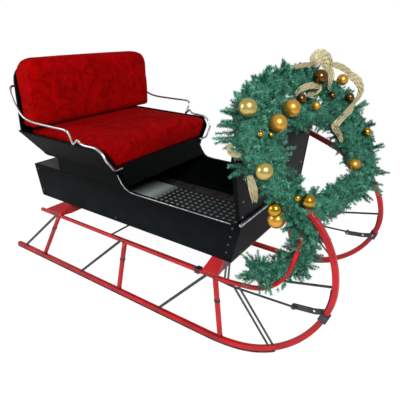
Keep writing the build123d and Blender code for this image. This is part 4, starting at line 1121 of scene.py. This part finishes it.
# The wound wire and inner film: its colour runs from the dark of the shade between the tips up to mid fir
# green, partly the film's own colour and partly painted shade.
dark_wire, dark_tree, dark_shader = surface_tree("wound_wire_and_film", "#14503E", Roughness=0.8)
wire_where = add(dark_tree, "TexCoord").outputs["Object"]
wire_noise = mottle(dark_tree, dark_shader, wire_where, 0.008, "#0A2A20", "#2C7A60", detail=6.0)
bumped(dark_tree, dark_shader, wire_noise.outputs[0], 0.006, 1.0)

QUARTERS, TIPS_A_QUARTER, NEEDLES_A_TIP = 4, 330, 74
QUARTER_STEPS = 100
HOOP_DENT = {"share": 0.36, "depth": 0.020, "spread": 0.07}      # a dip in the hoop's outline
hoop_share = np.linspace(0, 1, QUARTERS * QUARTER_STEPS + 1)
dent = HOOP_DENT["depth"] * np.exp(-((hoop_share - HOOP_DENT["share"]) / HOOP_DENT["spread"]) ** 2)
hoop_line = on_hoop(hoop_share, 90.0, -dent)[0]
for quarter in range(QUARTERS):
    first_step = quarter * QUARTER_STEPS
    stretch = hoop_line[first_step:first_step + QUARTER_STEPS + 1]
    tips = tips_round(stretch, TIPS_A_QUARTER, foot=(0.014, 0.034), length=(0.038, 0.056))
    needle_piece(f"wreath_needles_{quarter + 1}", *needle_sprays(*tips, NEEDLES_A_TIP), "wreath_ring")

# Tips that stand well clear of the rest: (share round the hoop, angle round the limb, reach).
PROUD_TIPS = [(0.447, 100, 0.122), (0.428, 95, 0.112), (0.466, 118, 0.124), (0.456, 134, 0.140),
              (0.435, 130, 0.118), (0.411, 64, 0.112), (0.393, 31, 0.108),
              (0.345, 10, 0.112), (0.320, 30, 0.105), (0.277, 12, 0.115), (0.262, 40, 0.110),
              (0.020, 20, 0.124), (0.979, 22, 0.116), (0.874, 37, 0.118), (0.839, 54, 0.130),
              (0.505, 139, 0.130), (0.518, -33, 0.112), (0.570, -23, 0.112), (0.576, 3, 0.104),
              (0.060, 10, 0.110), (0.930, 20, 0.112), (0.800, 60, 0.118), (0.760, 10, 0.108),
              (0.700, -20, 0.106), (0.640, -60, 0.108), (0.480, 90, 0.108)]
PROUD_BUNCH, PROUD_FOOT, PROUD_NEEDLES = 4, 0.030, 150
END_NEEDLES = 0.006      # how far the last needles stand past the end of a tip's wire
proud = np.array(PROUD_TIPS)
roots, away = on_hoop(proud[:, 0], proud[:, 1], np.full(len(proud), PROUD_FOOT))
proud_count = len(proud) * PROUD_BUNCH
roots = np.repeat(roots, PROUD_BUNCH, axis=0) + chance.normal(0, 0.006, (proud_count, 3))
ways = unit(np.repeat(away, PROUD_BUNCH, axis=0) + chance.normal(0, 0.13, (proud_count, 3)))
wire = np.repeat(proud[:, 2] - PROUD_FOOT - END_NEEDLES, PROUD_BUNCH)
wire = wire * chance.uniform(0.72, 1.0, proud_count)
needle_piece("wreath_proud_tips", *needle_sprays(roots, ways, wire, PROUD_NEEDLES), "wreath_ring")

CORE_RADIUS, CORE_SEED = 0.052, 3
core_line = np.concatenate([hoop_line[:-1:3], hoop_line[:4:3]])
hoop_rings = ragged_core(core_line, CORE_RADIUS, CORE_SEED)[:-2]
count, around = hoop_rings.shape[:2]
core_points = hoop_rings.reshape(-1, 3)
core_faces = grid_faces(count + 1, around) % (count * around)
hoop_core = make_mesh("wreath_core", core_points, *outward(core_points, core_faces))
fitted(hoop_core, dark_wire, "wreath_ring")

strand_places = np.array(STRAND_PLACES)
strand_line = smooth_line(on_hoop(strand_places[:, 0], 90.0, -strand_places[:, 1])[0], per_span=10)
tail_line = smooth_line(TAIL_POINTS, per_span=8)
# Each: its name, its line, the core's radius and seed, how many tips, and its node.
for name, line, radius, seed, count, stands_for in (
        ("strand", strand_line, 0.050, 5, 360, "garland_strand"),
        ("tail", tail_line, 0.040, 8, 350, "garland_tail")):
    core_points, core_faces = closed_tube(ragged_core(line, radius, seed))
    core = make_mesh(name + "_core", core_points, *core_faces)
    fitted(core, dark_wire, stands_for)
    tips = tips_round(line, count, foot=(0.012, 0.040), length=(0.044, 0.066), end_pull=1.6)
    needle_piece(name + "_needles", *needle_sprays(*tips, NEEDLES_A_TIP), stands_for)

# Short tips fill the gap midway between the hoop and the strand.
FILLING_TIPS = 150
halfway = strand_places[1:8]
between = smooth_line(on_hoop(halfway[:, 0], 90.0, -halfway[:, 1] / 2)[0], per_span=10)
tips = tips_round(between, FILLING_TIPS, foot=(0.004, 0.020), length=(0.034, 0.050))
needle_piece("strand_filling", *needle_sprays(*tips, NEEDLES_A_TIP), "garland_strand")


# ---- Baubles: lacquered glass balls wired to the garland -----------------------
# Blown glass, lacquered satin gold, pearl gold, bronze or bright gold. Each has a tin
# cap of the same colour with a wire stub, turned in towards the garland's wire.
def bauble_finish(name, colour, metallic, roughness):
    return surface_tree(name, colour, Metallic=metallic, Roughness=roughness)[0]


finishes = {"satin": bauble_finish("satin_gold_lacquer", "#D39A3C", 0.80, 0.30),
            "pearl": bauble_finish("pearl_gold_lacquer", "#C4AB62", 0.85, 0.27),
            "bronze": bauble_finish("bronze_lacquer", "#6E4C28", 0.9, 0.16),
            "bright": bauble_finish("bright_gold_foil", "#BC8F2E", 1.0, 0.14)}


def turned(profile, centre, axis, around=32):
    """A surface turned about an axis, from (radius, height) pairs."""
    axis = np.asarray(axis, float) / np.linalg.norm(axis)
    side = unit(np.cross(axis, (0.31, 0.17, 0.93)))
    other = np.cross(axis, side)
    turn = np.linspace(0, 2 * np.pi, around, endpoint=False)
    ring = np.cos(turn)[:, None] * side + np.sin(turn)[:, None] * other
    radius, height = np.array(profile, float).T
    return np.asarray(centre) + radius[:, None, None] * ring + height[:, None, None] * axis


def ball_profile(radius, count=18):
    """A sphere from its far pole to a short neck that the cap sits on."""
    angle = np.linspace(-np.pi / 2 + 0.02, np.arcsin(0.96), count)
    ball = [(radius * np.cos(a), radius * np.sin(a)) for a in angle]
    return ball + [(0.24 * radius, 0.99 * radius)]


def cap_profile(radius):
    """The tin cap: its skirt, its flat crown and the stub of its wire loop."""
    return [(0.30 * radius, 0.93 * radius), (0.29 * radius, 1.05 * radius), (0.24 * radius, 1.12 * radius),
            (0.05 * radius, 1.14 * radius), (0.05 * radius, 1.24 * radius), (0.01 * radius, 1.26 * radius)]


garland_line = np.concatenate([hoop_line, strand_line, tail_line])
for number, (centre, radius, finish) in enumerate(baubles, 1):
    nearest = garland_line[np.argmin(np.linalg.norm(garland_line - centre, axis=1))]
    inward = nearest - centre + (0.0, 0.0, 0.05)
    ball = closed_tube(turned(ball_profile(radius), centre, inward))
    cap = closed_tube(turned(cap_profile(radius), centre, inward))
    bauble = make_mesh(f"bauble_{number:02d}", *joined([ball, cap]))
    fitted(bauble, finishes[finish], "baubles")


# ---- Ribbon: pale gold gauze strip tied through the garland --------------------
# A woven strip 60 mm wide, drawn into soft pleats where it is gathered: a bow on top, a
# band round the garland, a long tail down its inside and short ends at the left.
RIBBON_CUT = 0.060
# Each strip: how it is held, and its line's places (x, y, z) with the width shown there in mm.
RIBBONS = {
    "bow_loop": ("gathered", [(0.644, 0.176, 1.275, 18), (0.614, 0.264, 1.305, 42),
                              (0.636, 0.290, 1.327, 50), (0.661, 0.327, 1.305, 48),
                              (0.673, 0.355, 1.264, 28)]),
    "bow_left": ("gathered", [(0.613, 0.007, 1.280, 20), (0.627, 0.098, 1.284, 26),
                              (0.642, 0.225, 1.284, 18)]),
    "bow_back": ("gathered", [(0.628, 0.215, 1.272, 34), (0.630, 0.262, 1.296, 52),
                              (0.640, 0.292, 1.304, 54), (0.655, 0.318, 1.284, 50),
                              (0.668, 0.330, 1.250, 30)]),
    "band": ("gathered", [(0.677, 0.355, 1.275, 30), (0.718, 0.399, 1.262, 34), (0.755, 0.433, 1.232, 32),
                          (0.767, 0.445, 1.204, 26)]),
    "long_tail": ("hung", [(0.756, 0.434, 1.224, 40), (0.795, 0.462, 1.195, 46), (0.819, 0.476, 1.154, 34),
                           (0.818, 0.470, 1.111, 26), (0.813, 0.404, 1.084, 20), (0.812, 0.330, 1.055, 36),
                           (0.815, 0.240, 1.045, 32), (0.807, 0.173, 1.023, 34), (0.797, 0.169, 0.998, 36),
                           (0.810, 0.217, 0.953, 28), (0.828, 0.226, 0.914, 18)]),
    "drop": ("hung", [(0.658, 0.338, 1.267, 38), (0.696, 0.313, 1.235, 34), (0.706, 0.286, 1.194, 22),
                      (0.705, 0.289, 1.155, 14)]),
    "lower_loop": ("gathered", [(0.637, 0.001, 1.164, 14), (0.653, 0.049, 1.185, 30),
                                (0.664, 0.124, 1.190, 36), (0.675, 0.215, 1.174, 32),
                                (0.664, 0.183, 1.148, 36), (0.689, 0.030, 1.152, 24)]),
    "left_end": ("gathered", [(0.585, -0.518, 1.030, 22), (0.608, -0.530, 1.005, 34),
                              (0.657, -0.546, 1.002, 18)]),
    "lower_end": ("hung", [(0.702, -0.550, 0.933, 24), (0.713, -0.536, 0.874, 34),
                           (0.709, -0.501, 0.809, 22)]),
}


def gold_gauze():
    """Fine gauze with a metal weft: pale gold threads lengthwise, greener between them."""
    material, tree, shader = surface_tree("pale_gold_gauze", "#C9B98A", Roughness=0.42, Metallic=0.35)
    weave = add(tree, "Attribute", attribute_name="across")
    place = add(tree, "CombineXYZ", {0: weave.outputs["Fac"]})
    thread = add(tree, "TexNoise", {"Vector": place.outputs[0], "Scale": 42.0, "Detail": 3.0})
    ramp = add(tree, "ValToRGB", {"Fac": thread.outputs[0]})
    ramp.color_ramp.elements[0].position, ramp.color_ramp.elements[1].position = 0.38, 0.64
    ramp.color_ramp.elements[0].color = linear("#8F8358")
    ramp.color_ramp.elements[1].color = linear("#F0E6C2")
    tree.links.new(ramp.outputs[0], shader.inputs["Base Color"])
    return material


def pleated(rows, facing, per_span=12, across=33, pleats=3):
    """A strip of the cut width laid in pleats, so that it shows the width given at each place.

    The pleats are a sine across the strip: its height for a run w of a strip W wide is
    near sqrt(W^2 - w^2) / (4 pleats), the rise of a zigzag of the same length.
    """
    rows = smooth_line(np.array(rows) * (1, 1, 1, 0.001), per_span)
    line, shown = rows[:, :3], np.clip(rows[:, 3], 0.012, 0.056)
    along = unit(np.gradient(line, axis=0))
    out = unit(facing - (along @ facing)[:, None] * along)
    side = np.cross(along, out)
    share = np.linspace(-0.5, 0.5, across)
    rise = np.sqrt(RIBBON_CUT ** 2 - shown ** 2) / (4 * pleats)
    drift = 0.6 * np.sin(np.linspace(0, 5, len(line)))[:, None]
    crease = np.sin(np.arange(len(line))[:, None] * 0.9 + 9 * share[None]) * 0.0022
    wave = np.sin(2 * np.pi * pleats * share[None] + drift) * rise[:, None] + crease
    points = (line[:, None] + (share * shown[:, None])[..., None] * side[:, None]
              + wave[..., None] * out[:, None])
    return points, np.broadcast_to(share + 0.5, points.shape[:2])


gauze = gold_gauze()
RIBBON_FACING = np.array((0.33, -0.85, 0.40))      # the side that the strips show
for name, (held, rows) in RIBBONS.items():
    points, across = pleated(rows, RIBBON_FACING)
    faces = grid_faces(points.shape[0], points.shape[1], closed=False)
    ribbon = make_mesh("ribbon_" + name, points.reshape(-1, 3), faces)
    layer = ribbon.data.attributes.new("across", "FLOAT", "POINT")
    layer.data.foreach_set("value", np.ascontiguousarray(across, dtype=np.float32).ravel())
    fitted(ribbon, gauze, "ribbon_bow")
